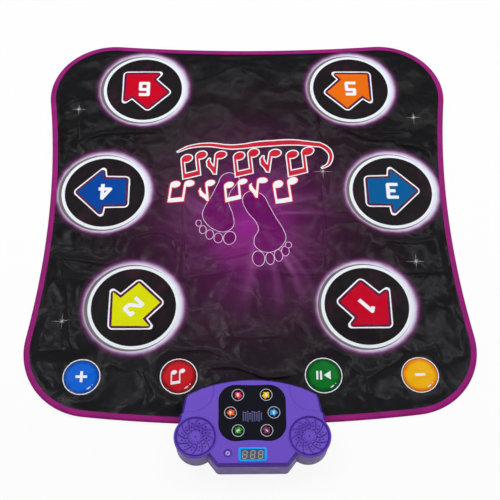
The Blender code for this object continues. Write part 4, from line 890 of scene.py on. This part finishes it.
inks, outlineWidth = [], 1.1
for sole, toes in soles:
    sole = smooth(sole)
    inks.append((1, put([grown(sole, outlineWidth / 2)], 0, 0)))
    inks.append((2, put([grown(sole, -outlineWidth / 2)], 0, 0)))
    for x, y, wide, tall in toes:
        inks.append((1, put([ellipse(x, y, wide, tall)], 0, 0)))
        inks.append((2, put([ellipse(x, y, wide - outlineWidth, tall - outlineWidth)], 0, 0)))
for row, border, fill in ((rowTwo, 4, 3), (rowOne, 3, 4)):
    drawn = []
    for kind, x, y, scale, tilt in row["notes"]:
        lean = math.radians(tilt)
        drawn.append((noteShapes(kind), x, y, scale, (math.sin(lean), -math.cos(lean))))
    if row is rowOne:
        tail = band(ribbonLine, 0.6 + 9.0 * np.sin(np.linspace(0, math.pi, len(ribbonLine))) ** 0.8)
        inks.append((border, put([grown(tail, row["border"])], 0, 0)))
        inks.append((fill, put([tail], 0, 0)))
    for shapes, x, y, scale, up in drawn:
        inks.append((border, put([grown(s, row["border"] / scale) for s in shapes], x, y, scale, up)))
    for shapes, x, y, scale, up in drawn:
        inks.append((fill, put(shapes, x, y, scale, up)))
for x, y, size in glints:
    inks.append((5, put([starShape(size * 1.5, size * 1.25)], x, y)))

clampScrews = [(side * x, -0.430) for side in (-1, 1) for x in (0.062, 0.095)]
ribbonSlot = box(-0.0134, -0.4298, 0.0134, -0.4266)
coverOutline = matOutline(mat["coverInset"])
coverHoles = [padLoop(spot, radius, 0.0002) for spot, radius in padSpots]
coverHoles += [ellipse(x, y, 0.0019, count=12) for x, y in clampScrews] + [ribbonSlot]
cover = printedSheet("cover_cloth", coverOutline, coverHoles, inks, 0.0046, clothHeight,
                     [coverSatin, lineInk, soleInk, whiteInk, redInk, glintInk, clothBack],
                     mat["clothThickness"], guides=creaseGuides)
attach(cover, "mat_and_console")
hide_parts("cover_sheet")
coverArea = area(coverOutline) - sum(abs(area(h)) for h in coverHoles)


# pads: padded patches of the same cloth

digits = {
    1: [[(-6.5, 9.5), (1.8, 14.4), (1.8, -17.4)]],
    2: [[(-8.2, 6.5), (-8.2, 14.2), (8.2, 14.2), (8.2, 2.5), (-8.2, -9.5), (-8.2, -14.2), (11.2, -14.2)]],
    3: [[(-11.2, 14.2), (8.2, 14.2), (8.2, -14.2), (-11.2, -14.2)], [(-6, 0), (8.2, 0)]],
    4: [[(4.6, -17.4), (4.6, 14.4), (-10.2, -6.0), (12.2, -6.0)]],
    5: [[(10.6, 14.2), (-7.6, 14.2), (-7.6, 2.6), (8.0, 2.6), (8.0, -14.2), (-10.8, -14.2)]],
    6: [[(10.6, 14.2), (-7.8, 14.2), (-7.8, -14.2), (7.8, -14.2), (7.8, 1.4), (-7.8, 1.4)]],
}
pad = {"crown": 0.0015, "thickness": 0.0015, "travel": 0.0012, "ring": 76.0, "line": 2.8, "gap": 4.6,
       "stroke": 7.0, "fillet": 9.5, "notchFillet": 1.5, "functionRim": 30.9, "functionFill": 30.0,
       "ripple": 0.00004}
arrowOutline = np.array([(0, 56), (-61.5, -5.5), (-36, -9), (-35, -53.5),
                         (35, -53.5), (36, -9), (61.5, -5.5)])
arrowFillets = np.array([1, 1, 0, 1, 1, 0, 1])  # 0 at the two notches
signs = {
    "plus": [box(-10, -2.4, 10, 2.4), box(-2.4, -10, 2.4, 10)],
    "minus": [box(-9, -2.4, 9, 2.4)],
    "play": [np.array([(-12, -8), (0, 0), (-12, 8)]), box(3, -8, 6.4, 8), box(9.4, -8, 12.8, 8)],
    "note": [s * 0.62 + (-6.0, -9.5) for s in noteShapes("pair")],
}
signGlint = [band([(10.5, -22.6), (14.0, -20.4), (17.2, -17.6)], [0.8, 2.2, 0.8]), ellipse(19.8, -14.8, 0.8)]


def digitShapes(digit, width):
    return [s for line in digits[digit] for s in strokes(line, width)]


def crowned(spot, radius, seed):  # a soft dome that meets the cover at its rim
    dice, ranges = np.random.default_rng(seed), ((30, 90), (0, 2 * math.pi), (0, 2 * math.pi))
    waves = [[dice.uniform(*limits) for limits in ranges] for _ in range(5)]

    def heightAt(points):
        inward = 1 - (np.hypot(*(points - spot).T) / radius) ** 2
        ripple = 0
        for pace, turn, start in waves:
            ripple = ripple + np.sin(points @ np.array([math.cos(turn), math.sin(turn)]) * pace + start)
        sunk = pad["ripple"] * (ripple + 5) * np.clip(inward * 3, 0, 1)
        return mat["topZ"] + np.maximum(np.clip(inward, 0, 1) ** 0.8 * pad["crown"] - sunk, 0)
    return heightAt


def makePad(name, facts, spot, radius, inks, materials, spacing):
    dome = crowned(spot, radius, len(name) + int(spot[0] * 1000 + 900))
    made = printedSheet(name.replace("_pad", "") + "_patch", padLoop(spot, radius), [], inks, spacing, dome,
                        materials, pad["thickness"])
    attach(made, facts["body"])
    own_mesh(made)
    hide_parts(name)
    return made


for name, facts in stepPads.items():
    spot = middle(name)
    x, y = spot * 1000
    arrow = arrowOutline + (0, facts["shift"])
    fillets = pad["notchFillet"] + arrowFillets * (pad["fillet"] - pad["notchFillet"])
    gapShape = rounded(grown(arrow, -pad["line"]), fillets - arrowFillets * pad["line"], 4)
    fillShape = grown(arrow, -pad["line"] - pad["gap"])
    padInks = [(1, put([ellipse(0, 0, pad["ring"], count=96)], x, y))]
    for index, shape in ((2, rounded(arrow, fillets, 5)), (3, gapShape), (4, fillShape)):
        padInks.append((index, put([shape], x, y, up=facts["way"])))
    padInks.append((2, put(digitShapes(facts["digit"], pad["stroke"]), x, y, up=facts["up"])))
    fillInk = satin(name.replace("step_pad", "arrowInk"), facts["fill"], roughness=0.42, specular=0.03)
    materials = [ringInk, discSatin, whiteInk, gapInk, fillInk, clothBack]
    made = makePad(name, facts, spot, stepRadius, padInks, materials, 0.0050)
for name, facts in functionPads.items():
    spot = middle(name)
    x, y = spot * 1000

    def rimmed(tree, place, spot=spot, facts=facts):  # deeper at the rim
        away = sums(tree, "SUBTRACT", vectors(tree, "DISTANCE", place, (*spot, mat["topZ"])), 0.0015)
        away = sums(tree, "MULTIPLY_ADD", noise(tree, place, 60.0, 3.0), 0.009, away)
        return mixed(tree, spread(tree, away, 0.0240, 0.0335), facts["fill"], facts["rim"])

    fillInk = satin(facts["sign"] + "Ink", None, rimmed, 0.34)
    padInks = [(2, put([ellipse(0, 0, pad["functionRim"], count=56)], x, y)),
               (1, put([ellipse(0, 0, pad["functionFill"], count=56)], x, y)),
               (0, put(signs[facts["sign"]], x, y, up=(0, -1))), (0, put(signGlint, x, y))]
    materials = [whiteInk, fillInk, blackInk, clothBack]
    made = makePad(name, facts, spot, functionRadius, padInks, materials, 0.0032)
print("ten pads made")


# binding tape folded over the edge, with its stitching

tape = {"width": 0.0108, "bottomZ": 0.0, "topZ": 0.0059, "thickness": 0.0008, "stitchInset": 0.0090,
        "stitchLength": 0.0025, "stitchPitch": 0.0034, "stitchSink": 0.00032, "stitchDip": 0.0003,
        "threadRadius": 0.00028, "ripple": 0.00018, "middleZ": 0.0035}


def tapeWeave():
    made, tree, place = newMaterial("tapeWeave", 0.5, specular=0.14)
    inputs = {"Vector": part(tree, "UVMap").outputs[0], "Scale": 0.62, "Distortion": 0.3, "Detail": 1.0}
    ribs = part(tree, "TexWave", inputs, bands_direction="X").outputs["Fac"]
    patches = noise(tree, place, 40.0, 3.0)
    base = mixed(tree, spread(tree, patches, 0.3, 0.7), tone(138, 4, 106), tone(158, 8, 122))
    base = mixed(tree, sums(tree, "MULTIPLY", ribs, 0.18), base, tone(108, 4, 82))
    return finished(made, base, [(patches, 0.3, 0.0004), (ribs, 0.35, 0.00012)])


def stitchThread():
    made, tree, place = newMaterial("stitchThread", 0.55, specular=0.3)
    twist = noise(tree, place, 1500.0, 2.0)
    return finished(made, mixed(tree, twist, tone(128, 20, 104), tone(176, 52, 148)), [(twist, 0.4, 0.00006)])


def gripSheet():
    made, tree, place = newMaterial("gripSheet", 0.8, specular=0.25)
    inputs = {"Vector": vectors(tree, "MULTIPLY", place, (1, 1, 0)), "Scale": 210.0, "Randomness": 0.0}
    dots = spread(tree, part(tree, "TexVoronoi", inputs).outputs["Distance"], 0.20, 0.32, 1.0, 0.0)
    felt = noise(tree, place, 1400.0, 3.0)
    base = mixed(tree, dots, mixed(tree, felt, tone(58, 58, 62), tone(74, 74, 78)), tone(38, 38, 40))
    return finished(made, base, [(dots, 0.6, 0.0003), (felt, 0.3, 0.0001)])


def walkAlong(line):
    return np.concatenate([[0], np.cumsum(np.linalg.norm(np.diff(line, axis=0), axis=1))])


def makeBinding():
    wide, stitch, thick = tape["width"], tape["stitchInset"], tape["thickness"]
    low, high = tape["bottomZ"], tape["topZ"]
    section = [  # distance in from the edge, and height: over the top, down the edge, below and back inside
        (wide, high - 0.0002), (wide - 0.0006, high), (stitch + 0.0008, high), (stitch, high - 0.00028),
        (stitch - 0.0010, high - 0.00004), (0.0062, high), (0.0040, high), (0.0020, high - 0.0002),
        (0.0008, high - 0.0008), (0.0001, high - 0.0018), (0.0, 0.0030), (0.0001, 0.0018), (0.0008, 0.0007),
        (0.0020, low + 0.0001), (0.0045, low), (0.0085, low), (wide - 0.0006, low), (wide, low + 0.0002),
        (wide, low + thick), (0.0050, low + thick), (0.0022, low + thick + 0.0003), (0.0010, 0.0022),
        (thick + 0.00005, 0.0030), (0.0010, 0.0040), (0.0024, high - thick - 0.0002), (0.0050, high - thick),
        (wide, high - thick)]
    rings = [matOutline(inset) for inset, _ in section]
    count = len(rings[0])
    walk = walkAlong(rings[0])
    lap = walk[-1] + np.linalg.norm(rings[0][0] - rings[0][-1])
    ripple = sum(np.sin(walk / lap * 2 * math.pi * k + k * k) for k in (11, 17, 29, 43)) / 4
    points, across = [], [0.0]
    for (inset, z), ring in zip(section, rings):
        lift = (ripple * tape["ripple"] - tape["ripple"]) * (z > tape["middleZ"])
        points.append(np.column_stack([ring, z + lift]))
    for a, b in zip(section, section[1:] + section[:1]):
        across.append(across[-1] + math.dist(a, b))
    faces, corners = [], []
    for j in range(len(section)):
        k = (j + 1) % len(section)
        for i in range(count):
            n = (i + 1) % count
            faces.append((j * count + i, k * count + i, k * count + n, j * count + n))
            here, there = walk[i], walk[n] if n else lap
            corners += [(here, across[j]), (here, across[j + 1]), (there, across[j + 1]), (there, across[j])]
    made = newObject("edge_tape", np.concatenate(points).tolist(), faces, [tapeWeave()])
    layer = made.data.uv_layers.new(name="along")
    layer.data.foreach_set("uv", (np.array(corners) * 1000).ravel())  # in millimetres
    mended(made)
    return made, lap


def makeStitches():
    line = matOutline(tape["stitchInset"])
    line = np.concatenate([line, line[:1]])
    walk = walkAlong(line)
    count = int(walk[-1] / tape["stitchPitch"])
    spots = np.arange(count) * walk[-1] / count
    here, ahead = [np.column_stack([np.interp(at, walk, line[:, 0]), np.interp(at, walk, line[:, 1])])
                   for at in (spots, spots + 0.001)]
    points, faces = [], []
    profile, sides = [(-0.5, 0.25), (-0.36, 0.85), (0.0, 1.0), (0.36, 0.85), (0.5, 0.25)], 6
    for spot, following in zip(here, ahead):
        along = unit(following - spot)
        side = left(along)
        start = len(points)
        for share, size in profile:
            for k in range(sides):
                turn = k * 2 * math.pi / sides
                out, up = (f(turn) * size * tape["threadRadius"] for f in (math.cos, math.sin))
                at = spot + along * share * tape["stitchLength"] + side * out
                points.append((*at, tape["topZ"] - tape["stitchSink"] + up - abs(share) * tape["stitchDip"]))
        for j in range(start, start + (len(profile) - 1) * sides, sides):
            for k in range(sides):
                n = (k + 1) % sides
                faces.append((j + k, j + sides + k, j + sides + n, j + n))
        last = start + (len(profile) - 1) * sides
        faces.append(tuple(start + k for k in range(sides)))
        faces.append(tuple(last + k for k in reversed(range(sides))))
    made = newObject("tape_stitches", points, faces, [stitchThread()])
    mended(made)
    return made


binding, tapeLength = makeBinding()
stitches = makeStitches()
for piece in (binding, stitches):
    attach(piece, "mat_and_console")
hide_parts("edge_binding")
print("binding made, %.2f m long" % tapeLength)


# anti-slip sheet under the mat

def flatAt(z):
    return lambda points: np.full(len(points), z)


under = {"gap": 0.0003, "spacing": 0.012, "topZ": 0.0008, "thickness": 0.0007, "fillet": 0.0033,
         "plate": (0.0497, -0.4403, 0.1043, -0.4177)}
plateHoles = [rounded((box(*under["plate"]) * (side, 1))[::side], under["fillet"]) for side in (-1, 1)]
gripOutline = matOutline(tape["width"] + under["gap"])
grip = printedSheet("grip_sheet", gripOutline, plateHoles, [], under["spacing"], flatAt(under["topZ"]),
                    [gripSheet()], under["thickness"])
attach(grip, "mat_and_console")
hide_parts("base_sheet")
gripArea = area(gripOutline) - sum(abs(area(h)) for h in plateHoles)


# console: softened mouldings, grilles, printed panel and display

shell = {"edge": 0.0006, "shoulder": (0.100, -0.416, 0.036), "groove": 0.00115, "topZ": 0.052,
         "podX": 0.0926, "podY": -0.4948, "rim": (0.0310, 0.0357, 0.0470, 0.05235), "lipRound": 0.0010,
         # dishes: radius below and above, lowest and highest z
         "podDish": (0.0306, 0.0339, 0.0500, 0.0525), "lampDish": (0.0048, 0.0074, 0.0508, 0.0521),
         "lamp": (-0.0402, -0.5229), "lampHighlightRing": (0.0025, 0.0013, 0.0512)}


def softened(node, name, body, width):  # a CAD moulding with its edges eased
    made = bpy.data.objects.new(name, nodes[node].data.copy())
    scene.collection.objects.link(made)
    alone(made)
    bpy.ops.object.mode_set(mode="EDIT")
    bpy.ops.mesh.select_all(action="SELECT")
    bpy.ops.mesh.remove_doubles(threshold=0.00001)
    bpy.ops.object.mode_set(mode="OBJECT")
    bpy.ops.mesh.customdata_custom_splitnormals_clear()
    bpy.ops.object.mode_set(mode="EDIT")
    bpy.ops.mesh.select_all(action="SELECT")
    bpy.ops.mesh.dissolve_limited(angle_limit=math.radians(0.5))
    bpy.ops.object.mode_set(mode="OBJECT")
    if width:
        applied(made, "BEVEL", width=width, segments=2, limit_method="ANGLE", angle_limit=math.radians(30))
    smoothed(made, 34)
    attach(made, body)
    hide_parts(node)
    return made


def bevelled(thing, chosen, width, segments):  # rounds the edges that the test picks
    alone(thing)
    bpy.ops.object.mode_set(mode="EDIT")
    bpy.ops.mesh.select_mode(type="EDGE")
    bpy.ops.mesh.select_all(action="DESELECT")
    bpy.ops.object.mode_set(mode="OBJECT")
    mesh, sides = thing.data, {}
    for face in mesh.polygons:
        for key in face.edge_keys:
            sides.setdefault(key, []).append(face.normal)
    count = 0
    for edge in mesh.edges:
        normals = sides.get(edge.key, [])
        ends = [mesh.vertices[i].co for i in edge.vertices]
        if len(normals) == 2 and normals[0].angle(normals[1], 0) > 0.3 and chosen(*ends, normals):
            edge.select = True
            count += 1
    bpy.ops.object.mode_set(mode="EDIT")
    bpy.ops.mesh.bevel(offset=width, segments=segments, affect="EDGES", clamp_overlap=False)
    bpy.ops.object.mode_set(mode="OBJECT")
    print("rounded", count, "edges of", thing.name)


def outerEdge(a, b, normals):
    slopes = [0.3 < n.z < 0.6 for n in normals]
    return min(a.z, b.z) > 0.035 and any(slopes) and not all(slopes)


def grooved(thing, side):  # a round groove along the edge of the raised deck
    x, y, radius = shell["shoulder"]
    turns = np.linspace(math.pi, 1.5 * math.pi, 17)
    bow = [(x + radius * math.cos(t), y + radius * math.sin(t)) for t in turns]
    route = [(x - radius, -0.396)] + bow + [(0.1185, y - radius)]
    line = bpy.data.curves.new("groove", "CURVE")
    line.dimensions = "3D"
    line.bevel_depth = shell["groove"]
    line.bevel_resolution = 3
    line.use_fill_caps = True
    spline = line.splines.new("POLY")
    spline.points.add(len(route) - 1)
    for point, (across, up) in zip(spline.points, route):
        point.co = (side * across, up, shell["topZ"], 1)
    cutter = bpy.data.objects.new("groove", line)
    scene.collection.objects.link(cutter)
    alone(cutter)
    bpy.ops.object.convert(target="MESH")
    mended(cutter, merge=True)
    combined(thing, cutter)


def dished(thing, x, y, dish):  # a sloping rim round a hole in the top
    inner, outer, low, high = dish
    combined(thing, blank(x, y, low, high, inner, outer))


def podRim(thing, x, y):  # a low lip round each loudspeaker pod
    inner, outer, low, high = shell["rim"]
    lip = blank(x, y, low, high, outer)
    bevelled(lip, lambda a, b, normals: min(a.z, b.z) > high - 0.0001, shell["lipRound"], 4)
    combined(lip, blank(x, y, low - 0.001, high + 0.001, inner))
    combined(thing, lip, "UNION")


casingTop = softened("top_shell", "casing_top", "mat_and_console", 0)
bevelled(casingTop, outerEdge, shell["edge"], 3)
for side in (-1, 1):
    grooved(casingTop, side)
    podRim(casingTop, side * shell["podX"], shell["podY"])
    dished(casingTop, side * shell["podX"], shell["podY"], shell["podDish"])
dished(casingTop, *shell["lamp"], shell["lampDish"])
smoothed(casingTop, 20)
softened("bottom_shell", "casing_bottom", "mat_and_console", 0)
softened("display_bezel", "bezel_frame", "mat_and_console", 0.0003)
softened("battery_door", "bay_door", "door", 0.0003)
softened("power_knob", "switch_knob", "knob", 0.0003)
for number in range(1, 5):
    softened("foot_%d" % number, "soft_foot_%d" % number, "mat_and_console", 0.0003)

grille = {"columns": 96, "blades": 12, "riser": 0.0009, "twist": 7.5, "pitch": 5.5,
          "rings": (12.2, 17.7, 23.2), "hole": 0.0012, "holeZ": (0.0475, 0.0535), "thickness": 0.0008,
          # radius, height and share of the blades' step, in millimetres
          "profile": [(30.5, 50.3, 0), (30.2, 50.9, 0), (29.8, 51.25, 0.8), (28.6, 51.45, 1), (26.0, 51.3, 1),
                      (23.2, 51.15, 1), (20.6, 50.85, 1), (17.9, 50.4, 1), (15.0, 50.15, 1),
                      (12.2, 49.95, 0.9), (9.6, 49.8, 0.4), (8.6, 49.9, 0), (8.2, 50.15, 0), (7.4, 50.2, 0)]}


def makeGrille(side, name, node):  # a dish of twelve stepped blades that turn as they go out
    centre = Vector((side * shell["podX"], shell["podY"], 0))
    count, blades, profile = grille["columns"], grille["blades"], grille["profile"]
    bpy.ops.object.select_all(action="DESELECT")
    bpy.ops.mesh.primitive_circle_add(vertices=count, radius=profile[0][0] / 1000, fill_type="NOTHING",
                                      location=(centre.x, centre.y, profile[0][1] / 1000))
    made = bpy.context.active_object
    made.name = name
    bpy.ops.object.transform_apply(location=True, rotation=True, scale=True)
    bpy.ops.object.mode_set(mode="EDIT")
    bpy.ops.mesh.select_all(action="SELECT")
    for (radius, height, _), (nextRadius, nextHeight, _) in zip(profile, profile[1:]):
        ratio, lift = nextRadius / radius, (nextHeight - height) / 1000
        bpy.ops.mesh.extrude_edges_move(TRANSFORM_OT_translate={"value": (0, 0, lift)})
        bpy.ops.transform.resize(value=(ratio, ratio, 1), center_override=(centre.x, centre.y, 0))
    bpy.ops.mesh.edge_face_add()
    bpy.ops.object.mode_set(mode="OBJECT")
    per = count // blades
    for point in made.data.vertices:  # step and twist by ring and column
        out = point.co - centre
        radius = math.hypot(out.x, out.y) * 1000
        step = min(profile, key=lambda row: abs(row[0] - radius))[2]
        column = round(math.atan2(out.y, out.x) * side / (2 * math.pi) * count) % per
        if radius < 30.0:
            point.co.z += grille["riser"] * step * (-0.85 if column == 0 else 0.5 - (column - 1) / (per - 2))
            turn = grille["twist"] * (radius - grille["rings"][0]) / grille["pitch"] + 180 / blades
            turned = Matrix.Rotation(side * math.radians(turn), 3, "Z") @ Vector((out.x, out.y, 0))
            point.co = centre + turned + Vector((0, 0, point.co.z))
    made.data.materials.append(consolePlastic)
    mended(made)
    if max(made.data.polygons, key=lambda face: face.area).normal.z < 0:
        made.data.flip_normals()
    applied(made, "SOLIDIFY", thickness=grille["thickness"], offset=-1.0)
    low, high = grille["holeZ"]
    cutter = blank(centre.x, centre.y, low, high, grille["hole"], sides=12)
    bpy.ops.object.mode_set(mode="EDIT")
    for ring, radius in enumerate(grille["rings"]):
        for k in range(blades):
            turn = 2 * math.pi * k / blades + side * math.radians(grille["twist"]) * ring
            x, y = centre.x + radius / 1000 * math.cos(turn), centre.y + radius / 1000 * math.sin(turn)
            bpy.ops.mesh.primitive_cylinder_add(vertices=12, radius=grille["hole"], depth=high - low,
                                                location=(x, y, (low + high) / 2))
    bpy.ops.object.mode_set(mode="OBJECT")
    combined(made, cutter)
    smoothed(made, 16)
    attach(made, "mat_and_console")
    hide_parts(node)
    print(name, "has", len(made.data.polygons), "faces")


makeGrille(-1, "grille_left", "speaker_grille_left")
makeGrille(1, "grille_right", "speaker_grille_right")

# painted highlight: a pale glossy ring round the status lamp stands in for the bright ring of highlight on
# its clear dome
ringRadius, ringThickness, ringZ = shell["lampHighlightRing"]
bpy.ops.object.select_all(action="DESELECT")
bpy.ops.mesh.primitive_torus_add(major_segments=40, minor_segments=10, major_radius=ringRadius,
                                 minor_radius=ringThickness, location=(*shell["lamp"], ringZ))
lampHighlightRing = bpy.context.active_object
lampHighlightRing.name = "lamp_highlight_ring"
lampHighlightRing.data.materials.append(ink("highlightRingWhite", tone(186, 174, 232), 0.18))
bpy.ops.object.transform_apply(location=True, rotation=True, scale=True)
bpy.ops.object.shade_smooth()
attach(lampHighlightRing, "mat_and_console")

lampMarks = {6: (-23.5, -424.5, tone(232, 36, 84)), 5: (23.5, -424.5, tone(236, 192, 0)),
             4: (-35.7, -455.0, tone(236, 98, 18)), 3: (35.7, -455.0, tone(30, 156, 240)),
             2: (-23.4, -485.4, tone(30, 146, 22)), 1: (23.4, -485.4, tone(128, 36, 88))}
panel = {"z": 0.05222, "thickness": 0.0001, "ring": (10.3, 9.3), "arrow": 0.118, "fillet": 4.0, "digit": 0.15,
         "stroke": 8.0, "bars": (9, 3.7, 2.3), "barY": -463.0, "spacing": 0.0028, "margin": 0.0006}
panelInks = []
for digit, (x, y, colour) in lampMarks.items():
    facts = stepPads["step_pad_%d" % digit]
    outer, inner = (put([ellipse(0, 0, radius, count=48)], x, y) for radius in panel["ring"])
    mark = put([rounded(arrowOutline, panel["fillet"])], x, y, panel["arrow"], facts["way"])
    number = put(digitShapes(digit, panel["stroke"]), x, y, panel["digit"], facts["up"])
    panelInks += [(1, outer), (0, inner), (1 + digit, mark), (8, number)]
count, pitch, wide = panel["bars"]
for k in range(count):
    x, tall = (k - (count - 1) / 2) * pitch, 9.0 + 7.0 * abs(math.sin(k * 1.9 + 0.7))
    low, high = panel["barY"] - tall / 2, panel["barY"] + tall / 2
    panelInks.append((9, put([box(-wide / 2, low, wide / 2, high)], x, 0)))
    panelInks.append((10 + k % 2, put([box(-wide / 2, high + 0.8, wide / 2, high + 2.4)], x, 0)))
panelTints = [finishes["panel_film"], ink("markRing", tone(196, 198, 206))]
panelTints += [ink("mark%d" % digit, lampMarks[digit][2]) for digit in range(1, 7)]
panelTints += [ink("markWhite", tone(240, 240, 244)), ink("barSlate", tone(72, 72, 118)),
               ink("barPink", tone(190, 70, 130)), ink("barCyan", tone(60, 150, 200))]
_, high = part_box("overlay_panel")
rim = [v.co for v in nodes["overlay_panel"].data.vertices if v.co.z > high.z - 0.00005]
rim = {(round(spot.x, 5), round(spot.y, 5)) for spot in rim}
rim = np.array(sorted(rim, key=lambda p: math.atan2(p[1] + 0.455, p[0])))
panelFilm = printedSheet("panel_print", grown(rim, -panel["margin"]), [], panelInks, panel["spacing"],
                         flatAt(panel["z"]), panelTints, panel["thickness"], False)
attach(panelFilm, "mat_and_console")

display = {"z": 0.0518, "pitch": 12.75, "high": 14.3, "wide": 8.4, "bar": 1.5, "slant": 0.1, "gap": 0.25,
           "shrink": 0.96, "glass": (-18.0, -532.9, 18.0, -517.8), "thickness": 0.00008, "spacing": 0.002}
bar = display["bar"]
high, wide = display["high"] - bar, display["wide"] - bar
bars = ((-1, 1, 1, 1), (-1, 0, 1, 0), (-1, -1, 1, -1),  # the three across, then the four upright
        (-1, 1, -1, 0), (1, 1, 1, 0), (-1, 0, -1, -1), (1, 0, 1, -1))
segments = []
for k in (-1, 0, 1):
    for x1, y1, x2, y2 in bars:
        a, b = np.array([x1 * wide / 2, y1 * high / 2]), np.array([x2 * wide / 2, y2 * high / 2])
        along = unit(b - a)
        side, tip = left(along) * bar / 2, along * bar / 2
        a, b = a + along * display["gap"], b - along * display["gap"]
        shape = np.array([a, a + tip + side, b - tip + side, b, b - tip - side, a + tip - side])
        shape = shape * display["shrink"] + np.column_stack([shape[:, 1] * display["slant"], np.zeros(6)])
        segments.append(shape + (k * display["pitch"], (display["glass"][1] + display["glass"][3]) / 2))
displayFace = printedSheet("display_face", rounded(box(*display["glass"]) / 1000, 0.0008), [],
                           [(1, [s / 1000 for s in segments])], display["spacing"], flatAt(display["z"]),
                           [finishes["display_smoke"], ink("segmentGrey", tone(166, 170, 177))],
                           display["thickness"], False)
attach(displayFace, "mat_and_console")


# floor, light and camera

light = {"ambient": 0.27, "key": 13.0, "side": 8.0, "strip": 20.0, "fill": 4.0, "floorGlow": 0.90}


def seenDirectly(tree):  # 1 for what the camera, a reflection or a clear piece shows
    ray = part(tree, "LightPath").outputs
    other = sums(tree, "MAXIMUM", ray["Is Glossy Ray"], ray["Is Transmission Ray"])
    return sums(tree, "MAXIMUM", ray["Is Camera Ray"], other)


def makeFloor():
    bpy.ops.object.select_all(action="DESELECT")
    bpy.ops.mesh.primitive_plane_add(size=8.0, location=(0, 0, -0.0004))
    floor = bpy.context.active_object
    floor.name = "floor"
    made, tree, _ = newMaterial("paleFloor", 0.9, specular=0.0)
    shader = tree.nodes["Principled BSDF"]
    shader.inputs["Base Color"].default_value = (0.9, 0.9, 0.9, 1.0)
    white = part(tree, "Emission", {"Color": (1, 1, 1, 1), "Strength": 1.0}).outputs[0]
    share = sums(tree, "MULTIPLY", seenDirectly(tree), light["floorGlow"])
    blend = part(tree, "MixShader", {0: share, 1: shader.outputs[0], 2: white}).outputs[0]
    below = part(tree, "NewGeometry").outputs["Backfacing"]
    clear = part(tree, "BsdfTransparent").outputs[0]
    both = part(tree, "MixShader", {0: below, 1: blend, 2: clear}).outputs[0]
    tree.links.new(both, tree.nodes["Material Output"].inputs["Surface"])
    floor.data.materials.append(made)
    floor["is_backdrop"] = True


def makeLight(name, spot, size, energy, target=(0.0, -0.08, 0.0)):
    lamp = bpy.data.lights.new(name, "AREA")
    lamp.shape = "RECTANGLE"
    lamp.size, lamp.size_y = size
    lamp.energy = energy
    thing = bpy.data.objects.new(name, lamp)
    thing.location = spot
    thing.rotation_euler = (Vector(target) - Vector(spot)).to_track_quat("-Z", "Y").to_euler()
    scene.collection.objects.link(thing)


makeFloor()
makeLight("keyLamp", (-0.95, 0.20, 1.90), (0.6, 0.6), light["key"])
makeLight("sideLamp", (1.00, 0.50, 1.90), (0.6, 0.6), light["side"])
makeLight("rearStrip", (0.10, 1.25, 1.90), (2.6, 0.3), light["strip"])
makeLight("fillLamp", (1.00, -1.30, 1.40), (1.2, 1.2), light["fill"])
world = bpy.data.worlds.new("studio")
scene.world = world
world.use_nodes = True
tree = world.node_tree
tree.nodes.clear()
soft = part(tree, "Background", {"Color": (1, 1, 1, 1), "Strength": light["ambient"]}).outputs[0]
bright = part(tree, "Background", {"Color": (1, 1, 1, 1), "Strength": 1.0}).outputs[0]
both = part(tree, "MixShader", {0: seenDirectly(tree), 1: soft, 2: bright}).outputs[0]
part(tree, "OutputWorld", {"Surface": both})
scene.view_settings.view_transform = "Standard"

camera = {"lens": 69.18, "sensor": 36.0, "near": 0.05, "far": 30.0, "pitch": 61.777, "yaw": 1.948,
          "roll": 1.4695, "place": (-0.02793, -0.96566, 1.56891)}
pitch, yaw, roll = (math.radians(camera[k]) for k in ("pitch", "yaw", "roll"))
forward = Vector((math.sin(yaw) * math.cos(pitch), math.cos(yaw) * math.cos(pitch), -math.sin(pitch)))
level = Vector((math.cos(yaw), -math.sin(yaw), 0))
upright = level.cross(forward)
right = level * math.cos(roll) + upright * math.sin(roll)
upward = upright * math.cos(roll) - level * math.sin(roll)
lens = bpy.data.cameras.new("photoCamera")
lens.lens = camera["lens"]
lens.sensor_width = camera["sensor"]
lens.clip_start = camera["near"]
lens.clip_end = camera["far"]
eye = bpy.data.objects.new("photoCamera", lens)
eye.matrix_world = Matrix((right, upward, -forward)).transposed().to_4x4()
eye.location = camera["place"]
scene.collection.objects.link(eye)
scene.camera = eye

low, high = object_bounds()
{"cad": [list(cadLow), list(cadHigh)], "visual": [list(low), list(high)]}
print("scene ready")
